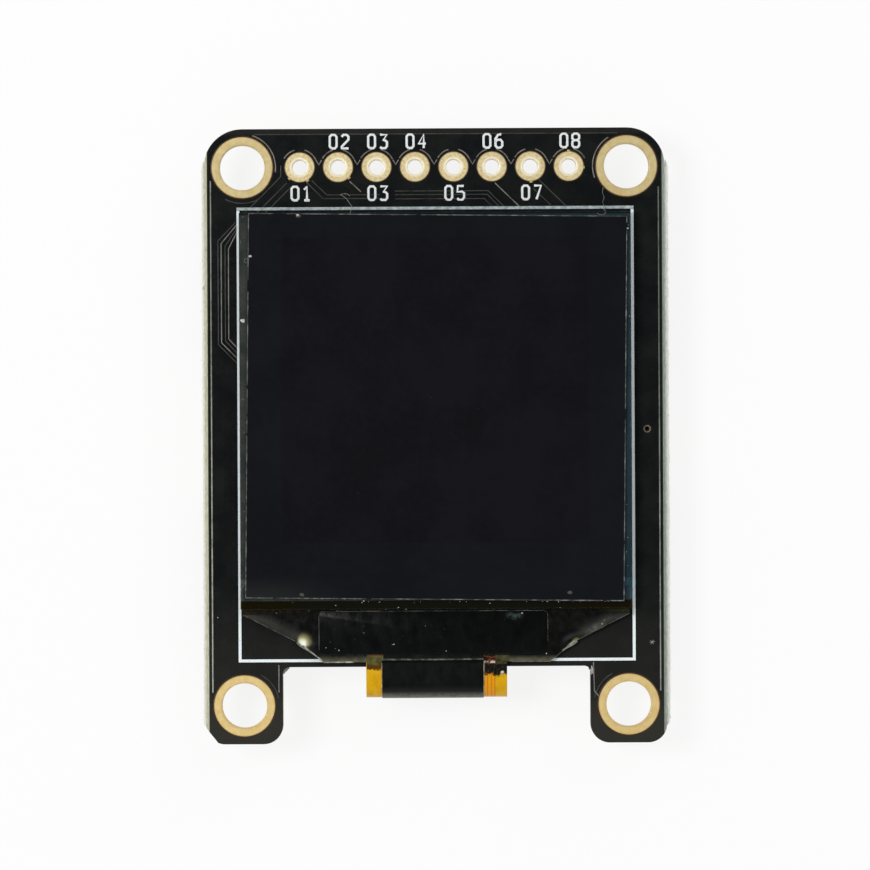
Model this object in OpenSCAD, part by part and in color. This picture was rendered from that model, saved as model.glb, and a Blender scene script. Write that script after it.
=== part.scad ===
// Small OLED display module: a glass display on a small circuit board. Its film folds round
// the board's lower edge to the back, where the power parts and two cable sockets sit.
// The origin is the centre of the four mounting holes, on the board's front face.
// +Z points out of the display and +Y points to the row of pin holes.

/* [Board] */
// From the glass's side to the board's side
side_room = 2.34; // [2.3:0.01:4]
// From the glass's upper edge to the row of pin holes
head_room = 3.03; // [2.8:0.01:5]
// From the glass's lower edge to the notch
film_room = 3.84; // [3.6:0.01:4.2]
// From a mounting hole's centre to the board's edge, also the radius of the upper corners
edge_margin = 2.54; // [2.2:0.02:3.4]
// Thickness of the board
board_t = 1.6; // [1.2:0.1:2]
// Radius of the corners at the feet of the two legs
leg_r = 1.27; // [0.6:0.01:2]
// From a lower mounting hole's centre to the notch's side
leg_inner = 2.54; // [2.2:0.02:5]
// Height of the notch between the two legs
notch_h = 5.08; // [4.6:0.02:5.4]
// Radius in the notch's upper corners
notch_r = 0.4; // [0.1:0.05:1]
// Width of the slope cut off the left leg's outer corner
foot_cut_w = 0.87; // [0.4:0.01:1]
// Height of that slope
foot_cut_h = 1.08; // [0.6:0.01:1.1]
// Depth of the scored groove on each face of the long sides
score_depth = 0.52; // [0.3:0.01:0.56]
// Width of the groove's slope on each face
score_inset = 0.22; // [0.1:0.01:0.4]
// How far the snapped web stands out of the long sides
web_out = 0.16; // [0.05:0.01:0.3]

/* [Plated holes] */
// Diameter of the mounting holes
hole_d = 3; // [2.2:0.1:3.2]
// Diameter of the plated rings round the mounting holes
hole_pad_d = 4.04; // [3.6:0.02:4.3]
// Number of pin holes
pin_count = 8; // [4:1:8]
// Distance between pin holes
pin_pitch = 2.54; // [2.3:0.01:2.6]
// Diameter of the pin holes
pin_hole_d = 1; // [0.7:0.05:1.2]
// Diameter of the pads round the pin holes
pin_pad_d = 1.95; // [1.6:0.05:2.1]
// Thickness of the copper and its plating
plating_t = 0.04; // [0.03:0.01:0.07]
// Diameter of the small layer-change hole
via_d = 0.3; // [0.2:0.05:0.4]
// Distance of that hole from the board's right side
via_inset = 1.25; // [0.8:0.05:1.6]
// Height of that hole above the origin
via_y = 0.4; // [-6:0.1:6]

/* [Printed outline] */
// Width of the printed line
line_w = 0.19; // [0.1:0.01:0.35]
// Gap between the glass and the middle of the line at its sides
line_gap_x = 0.12; // [0.12:0.01:0.4]
// How far the outline stands to the right of the middle
line_shift = 0.04; // [-0.1:0.01:0.1]
// Gap between the glass and the middle of the line at its top
line_gap_top = 0.3; // [0.15:0.01:0.6]
// Height of the line's lower run above the notch
line_notch_gap = 0.43; // [0.3:0.01:0.6]
// Thickness of the print
print_t = 0.02; // [0.01:0.005:0.04]

/* [Display glass] */
// Width of the glass
glass_w = 25.8; // [24:0.05:26]
// Height of the glass that faces the viewer
glass_h = 26.15; // [25:0.05:26.3]
// Thickness of the glass that faces the viewer
glass_t = 0.5; // [0.4:0.05:0.7]
// Thickness of the cap glass behind it
cap_t = 0.5; // [0.4:0.05:0.7]
// Height of the ledge that the cap glass leaves free
ledge_h = 2; // [1.8:0.05:2.6]
// Depth of the pocket in the cap glass
pocket_depth = 0.25; // [0.15:0.01:0.3]
// Rim from the light-giving square to the pocket's wall
pocket_rim = 1; // [0.5:0.05:1.4]
// Side of the square that gives light
active_side = 20.14; // [18:0.02:20.3]
// Height of that square's middle above the glass's middle
active_lift = 1.375; // [1:0.005:1.4]
// Thickness of the light-giving layers
emitter_t = 0.02; // [0.01:0.005:0.04]
// Thickness of the drying film in the pocket
getter_t = 0.12; // [0.05:0.01:0.12]
// Thickness of the tape that holds the display on the board
mount_tape_t = 0.25; // [0.2:0.01:0.5]
// Rim of cap glass that the tape leaves free
mount_tape_rim = 0.9; // [0.4:0.05:2]

/* [Polariser] */
// Rim of glass that the polariser leaves free at each side
polariser_rim_x = 0.385; // [0.35:0.005:2]
// Rim of glass that the polariser leaves free above and below, taken together
polariser_rim_y = 0.73; // [0.6:0.01:3]
// Thickness of the polariser
polariser_t = 0.2; // [0.1:0.01:0.3]
// Shift of the polariser to the right of the glass's middle
polariser_dx = 0.06; // [-0.1:0.01:0.1]
// Height of the polariser's middle above the glass's middle
polariser_dy = 0.22; // [0.1:0.01:0.23]
// Turn by which the polariser was laid on askew
polariser_turn = -0.7; // [-0.8:0.05:0.8]

/* [Film] */
// Thickness of the film
film_t = 0.1; // [0.06:0.01:0.14]
// Length of film bonded behind the glass's ledge
film_bond = 1.5; // [1:0.05:1.7]
// Length of film that stays level past the glass
film_flat = 0.06; // [0.04:0.01:0.3]
// Gap between the glass's sides and the film's sides
film_side_gap = 0.15; // [0.05:0.01:0.8]
// Width of the film at its waist
waist_w = 14.9; // [14:0.05:17]
// Length of the film's straight flanks past the glass
collar_h = 0.35; // [0.2:0.01:0.8]
// Height of the film's waist above the notch
waist_gap = 0.31; // [0.3:0.01:0.6]
// Width of the film at its knees, where its sides turn steeper
knee_w = 18.3; // [17.6:0.05:20]
// Height of the knees above the waist
knee_h = 1.33; // [0.9:0.01:1.6]
// Thickness of the black coat on the film
mask_t = 0.02; // [0.01:0.005:0.04]
// Width of the tail
tail_w = 9.3; // [9.3:0.05:12]
// How far the tail's fold stands out of the notch
fold_out = 2.1; // [1.5:0.05:2.6]
// Radius of the tail's fold, at the middle of the film
fold_r = 1; // [0.95:0.01:1.06]
// Length of tail that lies on the board's back
tail_back = 2.7; // [2.2:0.05:3.2]

/* [Driver chip and tapes] */
// Shift of the driver chip and its tape to the left
chip_shift = 0.15; // [0:0.01:0.4]
// Width of the driver chip
chip_w = 12.6; // [9:0.1:13.5]
// Height of the driver chip
chip_h = 1.3; // [0.9:0.05:1.8]
// Thickness of the driver chip
chip_t = 0.28; // [0.15:0.01:0.3]
// Width of the tape over the driver chip
cover_w = 15.1; // [13:0.05:15.6]
// Gap between that tape and the film's waist
cover_lip = 0.54; // [0.05:0.01:0.6]
// Gap between the glass and that tape
cover_gap = 0.14; // [0.14:0.01:0.3]
// Thickness of both tapes
tape_t = 0.06; // [0.04:0.01:0.1]
// Width of the tape on the tail
tail_tape_w = 6.7; // [4:0.05:8]
// Shift of that tape to the left of the tail's middle
tail_tape_shift = 0.25; // [0:0.01:0.6]
// Length of that tape on the board's back
tail_tape_back = 1; // [0.3:0.05:1.6]

/* [Tail joint] */
// Number of contacts of the tail
tail_pins = 14; // [10:1:14]
// Distance between these contacts
tail_pitch = 0.62; // [0.5:0.01:0.64]
// Width of a contact's pad
tail_pad_w = 0.34; // [0.2:0.01:0.4]
// Length of pad left free past the tail's end
tail_pad_free = 0.75; // [0.5:0.05:1]

/* [Cable sockets] */
// Width of a socket
socket_w = 6; // [5.8:0.05:6.6]
// Depth of a socket, from its mouth to its back wall
socket_d = 4.25; // [3.6:0.05:4.8]
// Height of a socket above the board
socket_h = 2.95; // [2.6:0.05:3.6]
// How far the socket's mouth lies inside the board's side
socket_inset = 0.14; // [0:0.01:0.5]
// Width of the socket's mouth
mouth_w = 5.04; // [4.6:0.02:5.1]
// Height of the socket's mouth
mouth_h = 1.7; // [1.5:0.05:1.8]
// Thickness of the floor under the mouth
mouth_floor = 0.5; // [0.4:0.05:0.6]
// Thickness of the socket's back wall
back_wall = 0.95; // [0.8:0.05:1.2]
// Number of contacts in a socket
socket_pins = 4; // [2:1:4]
// Distance between these contacts
socket_pitch = 1; // [0.9:0.05:1.2]
// Width of a contact
contact_w = 0.24; // [0.16:0.01:0.3]
// Thickness of a contact's strip
contact_t = 0.25; // [0.2:0.01:0.3]
// Length of a contact's foot past the back wall
contact_foot = 0.6; // [0.4:0.05:0.8]
// Play between a contact and its slot
contact_play = 0.02; // [0.01:0.005:0.05]
// Width of the two keyways in the roof of the mouth
keyway_w = 0.8; // [0.5:0.05:1.2]
// Length of these keyways
keyway_l = 1.3; // [0.8:0.05:2]
// Thickness of the anchors in the socket's sides
anchor_t = 0.2; // [0.15:0.01:0.25]
// Length of an anchor
anchor_l = 1.5; // [1:0.05:1.8]
// Height of an anchor
anchor_h = 1.55; // [1:0.05:1.9]
// Length of an anchor's foot on the board
anchor_foot = 0.45; // [0.3:0.05:0.7]

/* [Power and logic parts] */
// Side of the boost coil's square shield
coil_side = 3; // [2.6:0.1:3.4]
// Height of the boost coil
coil_h = 1.4; // [1.1:0.05:1.8]
// Outer diameter of the coil's drum
drum_d = 2.2; // [1.8:0.05:2.3]
// Length of a large capacitor
large_l = 2; // [1.8:0.05:2.1]
// Width of a large capacitor
large_w = 1.25; // [1:0.05:1.35]
// Height of a large capacitor
large_h = 1.1; // [0.6:0.05:1.3]
// Length of a small capacitor or resistor
small_l = 1.6; // [1.4:0.05:1.7]
// Width of a small capacitor or resistor
small_w = 0.8; // [0.6:0.05:0.9]
// Height of a small capacitor
small_cap_h = 0.8; // [0.5:0.05:0.9]
// Height of a resistor
resistor_h = 0.45; // [0.3:0.05:0.55]
// Length of the metal ends on capacitors and resistors
end_l = 0.32; // [0.2:0.01:0.4]
// Thickness of the metal legs of the chips
leg_t = 0.14; // [0.1:0.01:0.18]
// Gap between the chips and the board
chip_gap = 0.1; // [0.05:0.01:0.2]
// Length of the level shifter
logic_l = 5; // [4.9:0.05:5.2]
// Width of the level shifter
logic_w = 4.4; // [4:0.05:4.6]
// Height of the level shifter
logic_h = 1.05; // [0.9:0.05:1.2]
// Width of the level shifter's legs
logic_leg_w = 0.24; // [0.18:0.01:0.3]
// Distance between the level shifter's legs
logic_pitch = 0.65; // [0.55:0.01:0.66]
// Reach of the level shifter's legs out of its body
logic_reach = 1; // [0.8:0.05:1.2]
// Length of the regulator and the boost converter
power_l = 2.9; // [2.8:0.05:3.1]
// Width of the regulator and the boost converter
power_w = 1.6; // [1.4:0.05:1.7]
// Height of the regulator and the boost converter
power_h = 1.1; // [0.9:0.05:1.3]
// Length of a transistor
transistor_l = 2.9; // [2.8:0.05:3.1]
// Width of a transistor
transistor_w = 1.3; // [1.1:0.05:1.5]
// Height of a transistor
transistor_h = 1; // [0.9:0.05:1.1]
// Width of the legs of the power chips and transistors
power_leg_w = 0.4; // [0.3:0.01:0.5]
// Distance between the legs of the power chips and transistors
power_pitch = 0.95; // [0.8:0.01:1]
// Reach of the legs of the power chips and transistors
power_reach = 0.6; // [0.5:0.05:0.7]
// Length of the boost diode
diode_l = 1.7; // [1.6:0.05:1.9]
// Width of the boost diode
diode_w = 1.25; // [1.1:0.05:1.4]
// Height of the boost diode
diode_h = 0.9; // [0.8:0.05:1.1]
// Width of the boost diode's legs
diode_leg_w = 0.3; // [0.2:0.01:0.4]
// Reach of the boost diode's legs
diode_reach = 0.4; // [0.3:0.01:0.5]

/* [Hidden] */
$fn = 64;

// Board
half_w = glass_w / 2 + side_room;
hole_span_x = 2 * (half_w - edge_margin);
hole_span_y = head_room + glass_h + film_room + notch_h - edge_margin;
half_h = hole_span_y / 2 + edge_margin;
notch_y = -half_h + notch_h;
notch_w = hole_span_x - 2 * leg_inner;
over = 1;

// Display
glass_top = hole_span_y / 2 - head_room;
glass_bottom = glass_top - glass_h;
display_y = (glass_top + glass_bottom) / 2;
cap_z = mount_tape_t;
glass_z = cap_z + cap_t;
polariser_z = glass_z + glass_t;
cap_h = glass_h - ledge_h;
cap_y = display_y + ledge_h / 2;
active_y = display_y + active_lift;
pocket_side = active_side + 2 * pocket_rim;
polariser_w = glass_w - 2 * polariser_rim_x;
polariser_h = glass_h - polariser_rim_y;

// The film's middle runs level behind the ledge, straight down to the fold, half a turn
// round the fold and level again on the board's back.
film_w = glass_w - 2 * film_side_gap;
bend_y = glass_bottom - film_flat;
bend_z = glass_z - film_t / 2;
back_z = -board_t - plating_t - film_t / 2;
fold_y = notch_y - fold_out + fold_r + film_t / 2 + tape_t;
fold_z = back_z + fold_r;
fold_far = norm([bend_y - fold_y, bend_z - fold_z]);
slope = atan2(bend_z - fold_z, bend_y - fold_y) - asin(fold_r / fold_far);
slope_l = sqrt(fold_far * fold_far - fold_r * fold_r);
collar_s = collar_h - film_flat;
waist_s = bend_y - notch_y - waist_gap;
cover_h = film_room - waist_gap - cover_lip - cover_gap;
tail_end = notch_y + tail_back;

// Parts on the back: places as [x, y, turn] and packages as
// [length, width, height, leg width, leg pitch, legs on one side, legs on the other, reach]
eight_legs = [for (i = [-3.5:1:3.5]) i];
logic_chip = [logic_l, logic_w, logic_h, logic_leg_w, logic_pitch, eight_legs, eight_legs, logic_reach];
power_chip = [power_l, power_w, power_h, power_leg_w, power_pitch, [-1, 0, 1], [-1, 1], power_reach];
transistor = [transistor_l, transistor_w, transistor_h, power_leg_w, power_pitch, [-1, 1], [0], power_reach];
diode = [diode_w, diode_l, diode_h, diode_leg_w, 1, [0], [0], diode_reach];
logic_spots = [[0.5, 9, 0]];
regulator_spots = [[8.6, 10.6, 90]];
boost_spots = [[-7.4, -7.6, 0]];
diode_spots = [[-3, -6.6, 90]];
transistor_spots = [[-7.6, 10.9, 90], [-7.6, 6.9, 90], [7.4, -7.4, 0]];
coil_spot = [-6.9, -3.2];
large_cap_spots = [[-1.2, -9.3, 90], [1.4, -9.3, 90], [8.4, 7.2, 0], [12, 10.6, 90]];
small_cap_spots = [[-10.6, -9.4, 90], [3.8, -9.3, 90], [0.5, 13.2, 0], [11.9, -7, 90], [5.6, 12, 90]];
resistor_spots = [[-12.4, -7.6, 90], [0.8, -5.6, 0], [3.6, -5.6, 0], [-11, 8.8, 90], [-12.8, 8.8, 90],
                  [4, 3.6, 90], [-4, 3.6, 90], [5.6, -3.6, 90], [11.9, -10.4, 90]];
jumper_spots = [[-1.6, -1.2], [1, -1.2], [3.6, -1.2]];
jumper_pad = [0.9, 1.4];
jumper_gap = 0.3;

// A rectangle whose upper corners have one radius and whose lower corners have another
module rounded_plate(w, h, upper_r, lower_r) {
    for (side = [-1, 1]) {
        translate([side * (w / 2 - upper_r), h / 2 - upper_r]) circle(upper_r);
        translate([side * (w / 2 - lower_r), -h / 2 + lower_r]) circle(lower_r);
    }
    translate([-w / 2 + upper_r, 0]) square([w - 2 * upper_r, h / 2]);
    translate([-w / 2 + lower_r, -h / 2]) square([w - 2 * lower_r, h / 2]);
    translate([-w / 2, -h / 2 + lower_r]) square([w, h - upper_r - lower_r]);
}

// What a corner loses when it is rounded: the corner is at the origin, the board below left
module corner_loss(r) {
    difference() {
        translate([-r, -r]) square(r + over);
        translate([-r, -r]) circle(r);
        translate([-r, -2 * r]) square([r - over, r]);
    }
}

module notch() {
    cut_h = notch_h + over;
    translate([0, notch_y - cut_h / 2]) rounded_plate(notch_w, cut_h, notch_r, notch_r);
    translate([-notch_w / 2, -half_h - over]) square([notch_w, notch_h]);
}

// Inner corners of the legs' feet
module leg_corners() {
    for (side = [-1, 1])
        scale([side, 1]) translate([notch_w / 2, -half_h]) difference() {
            translate([-over, -over]) square([over + leg_r, over + leg_r]);
            translate([leg_r, leg_r]) circle(leg_r);
            translate([-over, leg_r]) square([over, over]);
        }
}

// Slope across the left leg's outer corner, carried on past the snapped web
module foot_slope() {
    past = foot_cut_h * (web_out + over) / foot_cut_w;
    translate([-half_w, -half_h])
        polygon([[-web_out - over, -over], [foot_cut_w, -over], [foot_cut_w, 0],
                 [-web_out - over, foot_cut_h + past]]);
}

module board_plan() {
    web_l = 2 * half_h - edge_margin - leg_r;
    difference() {
        union() {
            rounded_plate(2 * half_w, 2 * half_h, edge_margin, leg_r);
            translate([-half_w - web_out, -half_h + leg_r]) square([2 * (half_w + web_out), web_l]);
        }
        notch();
        leg_corners();
        foot_slope();
    }
}

// Section across the board: both faces end in the slope of the scored groove
module board_section() {
    mid = -board_t / 2;
    web = board_t / 2 - score_depth;
    side = [[half_w - score_inset, 0], [half_w, mid + web], [half_w + web_out, mid + 0.7 * web],
            [half_w + web_out, mid - 0.7 * web], [half_w, mid - web], [half_w - score_inset, -board_t]];
    other = [for (i = [len(side) - 1:-1:0]) [-side[i][0], side[i][1]]];
    polygon(concat(side, other));
}

module at_mounting_holes() {
    for (x = [-1, 1], y = [-1, 1]) translate([x * hole_span_x / 2, y * hole_span_y / 2, 0]) children();
}

module at_pin_holes() {
    for (i = [0:pin_count - 1])
        translate([(i - (pin_count - 1) / 2) * pin_pitch, hole_span_y / 2, 0]) children();
}

module through_hole(d) {
    translate([0, 0, -board_t - over]) cylinder(d = d, h = board_t + 2 * over);
}

module board() {
    color("#16191c") difference() {
        intersection() {
            translate([0, 0, -board_t]) linear_extrude(board_t) board_plan();
            translate([0, half_h + over, 0]) rotate([90, 0, 0])
                linear_extrude(2 * (half_h + over)) board_section();
        }
        at_mounting_holes() through_hole(hole_d);
        at_pin_holes() through_hole(pin_hole_d);
        translate([half_w - via_inset, via_y, 0]) through_hole(via_d);
    }
}

// Flat rings round a plated hole, one on each face
module plated_rings(bore_d, ring_d) {
    for (z = [0, -board_t - plating_t]) translate([0, 0, z]) difference() {
        cylinder(d = ring_d, h = plating_t);
        translate([0, 0, -over]) cylinder(d = bore_d, h = plating_t + 2 * over);
    }
}

module mounting_rings() {
    color("#d7be82") at_mounting_holes() plated_rings(hole_d, hole_pad_d);
}

module pin_pads() {
    color("#d7be82") at_pin_holes() plated_rings(pin_hole_d, pin_pad_d);
}

module outline_print() {
    left = glass_w / 2 + line_gap_x;
    top = glass_top + line_gap_top;
    bottom = notch_y + line_notch_gap;
    color("#ced6d3") translate([line_shift, 0, 0]) linear_extrude(print_t) difference() {
        translate([-left - line_w / 2, bottom - line_w / 2])
            square([2 * left + line_w, top - bottom + line_w]);
        translate([-left + line_w / 2, bottom + line_w / 2])
            square([2 * left - line_w, top - bottom - line_w]);
    }
}

module block(w, h, t) {
    translate([-w / 2, -h / 2, 0]) cube([w, h, t]);
}

module mounting_tape() {
    color("#20201f") translate([0, cap_y, 0])
        block(glass_w - 2 * mount_tape_rim, cap_h - 2 * mount_tape_rim, mount_tape_t);
}

module cap_glass() {
    color("#9fb4b0", 0.6) difference() {
        translate([0, cap_y, cap_z]) block(glass_w, cap_h, cap_t);
        translate([0, active_y, glass_z - pocket_depth]) block(pocket_side, pocket_side, over);
    }
}

module drying_film() {
    color("#e8e4d8") translate([0, active_y, glass_z - pocket_depth])
        block(active_side, active_side, getter_t);
}

module light_layers() {
    color("#2a2430") translate([0, active_y, glass_z - emitter_t])
        block(active_side, active_side, emitter_t);
}

module front_glass() {
    color("#9fb4b0", 0.6) translate([0, display_y, glass_z]) block(glass_w, glass_h, glass_t);
}

module polariser() {
    color("#18171c") translate([polariser_dx, display_y + polariser_dy, polariser_z])
        rotate([0, 0, polariser_turn]) block(polariser_w, polariser_h, polariser_t);
}

// Places its children on the film's slope: their origin is at the bend, -Y runs down the
// slope and Z = 0 is the film's middle.
module on_slope() {
    translate([0, bend_y, bend_z]) rotate([slope, 0, 0]) children();
}

// Side view of a layer that follows the tail, between two heights over the film's middle.
// Its origin is at the bend: it runs along -X, round the fold and back under itself.
module along_tail(low, high, start, finish) {
    reach = fold_r + high + over;
    translate([-slope_l, low]) square([slope_l - start, high - low]);
    translate([-slope_l, -fold_r]) {
        intersection() {
            difference() {
                circle(fold_r + high);
                circle(fold_r + low);
            }
            translate([-reach, -reach]) square([reach, 2 * reach]);
            rotate(-slope) translate([-reach, -reach]) square([reach, 2 * reach]);
        }
        rotate(-slope) translate([0, -fold_r - high]) square([finish - fold_y, high - low]);
    }
}

module tail_layer(w, low, high, start, finish) {
    on_slope() rotate([90, 0, 90]) translate([0, 0, -w / 2]) linear_extrude(w)
        along_tail(low, high, start, finish);
}

// The film between the bend and the waist, seen along the slope's normal
module film_front_plan() {
    side = [[film_w / 2, 0], [film_w / 2, -collar_s], [knee_w / 2, knee_h - waist_s], [waist_w / 2, -waist_s]];
    other = [for (i = [len(side) - 1:-1:0]) [-side[i][0], side[i][1]]];
    polygon(concat(side, other));
}

module film() {
    color("#c98a1c") {
        translate([-film_w / 2, bend_y, bend_z - film_t / 2]) cube([film_w, film_flat + film_bond, film_t]);
        translate([-film_w / 2, bend_y, bend_z]) rotate([0, 90, 0]) cylinder(d = film_t, h = film_w);
        on_slope() translate([0, 0, -film_t / 2]) linear_extrude(film_t) film_front_plan();
        tail_layer(tail_w, -film_t / 2, film_t / 2, waist_s, tail_end);
    }
}

module film_coat() {
    color("#1b1c1e") on_slope() translate([0, 0, film_t / 2]) linear_extrude(mask_t) film_front_plan();
}

module driver_chip() {
    color("#55585c") on_slope() translate([-chip_shift, -cover_gap - cover_h / 2, -film_t / 2 - chip_t])
        block(chip_w, chip_h, chip_t);
}

module chip_tape() {
    cover_s = cover_gap - film_flat + cover_h / 2;
    color("#0e0f10") on_slope() translate([-chip_shift - 0.05, -cover_s, film_t / 2 + mask_t])
        block(cover_w, cover_h, tape_t);
}

module tail_tape() {
    color("#121314") translate([-tail_tape_shift, 0, 0])
        tail_layer(tail_tape_w, film_t / 2, film_t / 2 + tape_t, waist_s, notch_y + tail_tape_back);
}

module at_tail_pins() {
    for (i = [0:tail_pins - 1]) translate([(i - (tail_pins - 1) / 2) * tail_pitch, 0, 0]) children();
}

module tail_pads() {
    pad_l = tail_back - waist_gap + tail_pad_free;
    color("#d7be82") at_tail_pins()
        translate([-tail_pad_w / 2, notch_y + waist_gap, -board_t - plating_t]) cube([tail_pad_w, pad_l, plating_t]);
}

// Solder at the tail's end: a concave fillet from the film's end to the pad
module tail_solder() {
    low_r = tail_pad_free - 0.1;
    color("#c4c7c9") at_tail_pins() translate([-tail_pad_w / 2, tail_end, -board_t - plating_t])
        rotate([90, 0, 90]) linear_extrude(tail_pad_w) difference() {
            translate([0, -film_t - 0.02]) square([low_r, film_t + 0.02]);
            translate([low_r + 0.02, -low_r - 0.04]) circle(low_r);
        }
}

// Places its children on the board's back: their Z points away from the board
module on_back(x, y, turn) {
    translate([x, y, -board_t]) mirror([0, 0, 1]) rotate([0, 0, turn]) children();
}

// A socket's mouth faces +X with its middle at the origin; side is 1 or -1
module at_socket(side) {
    scale([side, 1, 1]) on_back(half_w - socket_inset, 0, 0) children();
}

module at_socket_pins() {
    for (i = [0:socket_pins - 1]) translate([0, (i - (socket_pins - 1) / 2) * socket_pitch, 0]) children();
}

// Upright side view, X towards the mouth, drawn in XZ and as wide as w
module upright(w) {
    rotate([90, 0, 0]) translate([0, 0, -w / 2]) linear_extrude(w) children();
}

module socket_housing() {
    roof_z = mouth_floor + mouth_h;
    lead_in = 0.25;
    difference() {
        upright(socket_w) polygon([[0, 0], [0, socket_h - 0.1], [-0.1, socket_h],
            [-socket_d + 0.5, socket_h], [-socket_d, socket_h - 0.7], [-socket_d, 0]]);
        // Mouth, with a lead-in on its roof
        translate([-socket_d + back_wall, -mouth_w / 2, mouth_floor])
            cube([socket_d - back_wall + over, mouth_w, mouth_h]);
        upright(mouth_w) polygon([[-lead_in, roof_z], [over, roof_z], [over, roof_z + 0.2], [0, roof_z + 0.2]]);
        // Keyways in the roof
        for (side = [-1, 1]) translate([-keyway_l, side * mouth_w / 4 - keyway_w / 2, roof_z - over / 2])
            cube([keyway_l + over, keyway_w, socket_h]);
        // Slots for the contacts
        at_socket_pins() translate([-socket_d - over, -contact_w / 2 - contact_play, -over])
            cube([back_wall + 2 * over, contact_w + 2 * contact_play, over + roof_z - 0.7]);
        // Pockets for the anchors
        for (side = [-1, 1]) translate([-0.5 - anchor_l, side * (socket_w / 2) - anchor_t, -over])
            cube([anchor_l, 2 * anchor_t, anchor_h + over]);
    }
}

module socket_contacts() {
    pin_z = mouth_floor + mouth_h / 2 - 0.15;
    heel = -socket_d + 0.35;
    at_socket_pins() upright(contact_w) polygon([
        [-socket_d - contact_foot, 0], [heel + contact_t, 0], [heel + contact_t, pin_z - contact_t / 2],
        [-1, pin_z - contact_t / 2], [-0.85, pin_z], [-1, pin_z + contact_t / 2],
        [heel, pin_z + contact_t / 2], [heel, contact_t], [-socket_d - contact_foot + 0.1, contact_t]]);
}

module socket_anchors() {
    for (side = [-1, 1]) scale([1, side, 1]) translate([-0.5 - anchor_l, 0, 0]) {
        translate([0, socket_w / 2 - anchor_t, 0]) cube([anchor_l, anchor_t, anchor_h]);
        translate([0, socket_w / 2, 0]) cube([anchor_l, anchor_foot, anchor_t]);
    }
}

module left_socket() { color("#e9e6da") at_socket(-1) socket_housing(); }
module right_socket() { color("#e9e6da") at_socket(1) socket_housing(); }
module left_contacts() { color("#c9ccce") at_socket(-1) socket_contacts(); }
module right_contacts() { color("#c9ccce") at_socket(1) socket_contacts(); }
module left_anchors() { color("#c9ccce") at_socket(-1) socket_anchors(); }
module right_anchors() { color("#c9ccce") at_socket(1) socket_anchors(); }

// Side view of a moulded body: it is widest at the band where the legs leave it
module moulded_side(w, h, draft) {
    band = (chip_gap + h) / 2;
    side = [[w / 2 - draft, chip_gap], [w / 2, band - leg_t / 2], [w / 2, band + leg_t / 2], [w / 2 - draft, h]];
    polygon(concat(side, [for (i = [3:-1:0]) [-side[i][0], side[i][1]]]));
}

module chip_body(package, spots) {
    for (s = spots) on_back(s[0], s[1], s[2]) intersection() {
        upright(package[1]) moulded_side(package[0], package[2], 0.08);
        rotate([0, 0, 90]) upright(package[0]) moulded_side(package[1], package[2], 0.08);
    }
}

// One leg: out of the body, down and along the board
module gull_leg(h, w, reach) {
    out_z = (chip_gap + h) / 2;
    rotate([0, 0, 90]) upright(w) polygon([
        [0, out_z - leg_t / 2], [0.2 * reach - leg_t / 2, out_z - leg_t / 2], [0.45 * reach - leg_t, 0],
        [reach, 0], [reach, leg_t], [0.45 * reach, leg_t], [0.2 * reach + leg_t / 2, out_z + leg_t / 2],
        [0, out_z + leg_t / 2]]);
}

module chip_legs(package, spots) {
    for (s = spots, side = [0, 1]) on_back(s[0], s[1], s[2]) rotate([0, 0, 180 * side])
        for (i = package[5 + side]) translate([i * package[4], package[1] / 2, 0])
            gull_leg(package[2], package[3], package[7]);
}

module level_shifter() { color("#1d1e20") chip_body(logic_chip, logic_spots); }
module level_shifter_legs() { color("#c4c7c9") chip_legs(logic_chip, logic_spots); }
module regulator() { color("#1d1e20") chip_body(power_chip, regulator_spots); }
module regulator_legs() { color("#c4c7c9") chip_legs(power_chip, regulator_spots); }
module boost_converter() { color("#1d1e20") chip_body(power_chip, boost_spots); }
module boost_converter_legs() { color("#c4c7c9") chip_legs(power_chip, boost_spots); }
module boost_diode() { color("#1d1e20") chip_body(diode, diode_spots); }
module boost_diode_legs() { color("#c4c7c9") chip_legs(diode, diode_spots); }
module transistors() { color("#1d1e20") chip_body(transistor, transistor_spots); }
module transistor_legs() { color("#c4c7c9") chip_legs(transistor, transistor_spots); }

coil_base = 0.15;
drum_core = 0.5 * drum_d;
flange_t = 0.25;

module coil_shield() {
    color("#45474b") on_back(coil_spot[0], coil_spot[1], 0) difference() {
        translate([0, 0, coil_base]) linear_extrude(coil_h - coil_base)
            rounded_plate(coil_side, coil_side, 0.4, 0.4);
        translate([0, 0, coil_base + flange_t]) cylinder(d = drum_d + 0.16, h = coil_h);
    }
}

module coil_drum() {
    color("#3a3c40") on_back(coil_spot[0], coil_spot[1], 0) {
        translate([0, 0, coil_base + flange_t]) cylinder(d = drum_core, h = coil_h - coil_base - flange_t);
        translate([0, 0, coil_h - flange_t]) cylinder(d = drum_d, h = flange_t);
    }
}

module coil_winding() {
    color("#b06a3c") on_back(coil_spot[0], coil_spot[1], 0)
        translate([0, 0, coil_base + flange_t]) difference() {
            cylinder(d = drum_d - 0.1, h = coil_h - coil_base - 2 * flange_t);
            translate([0, 0, -over]) cylinder(d = drum_core, h = coil_h + over);
        }
}

module coil_terminals() {
    color("#c4c7c9") on_back(coil_spot[0], coil_spot[1], 0)
        for (side = [-1, 1]) translate([side * (coil_side / 2 - 0.45), 0, 0]) block(0.7, coil_side - 0.6, coil_base);
}

module part_body(l, w, h, spots) {
    for (s = spots) on_back(s[0], s[1], s[2]) translate([0, 0, 0.02]) block(l - 2 * end_l, w - 0.04, h - 0.04);
}

module part_ends(l, w, h, spots) {
    for (s = spots, side = [-1, 1]) on_back(s[0], s[1], s[2])
        translate([side * (l - end_l) / 2, 0, 0]) block(end_l, w, h);
}

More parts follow.
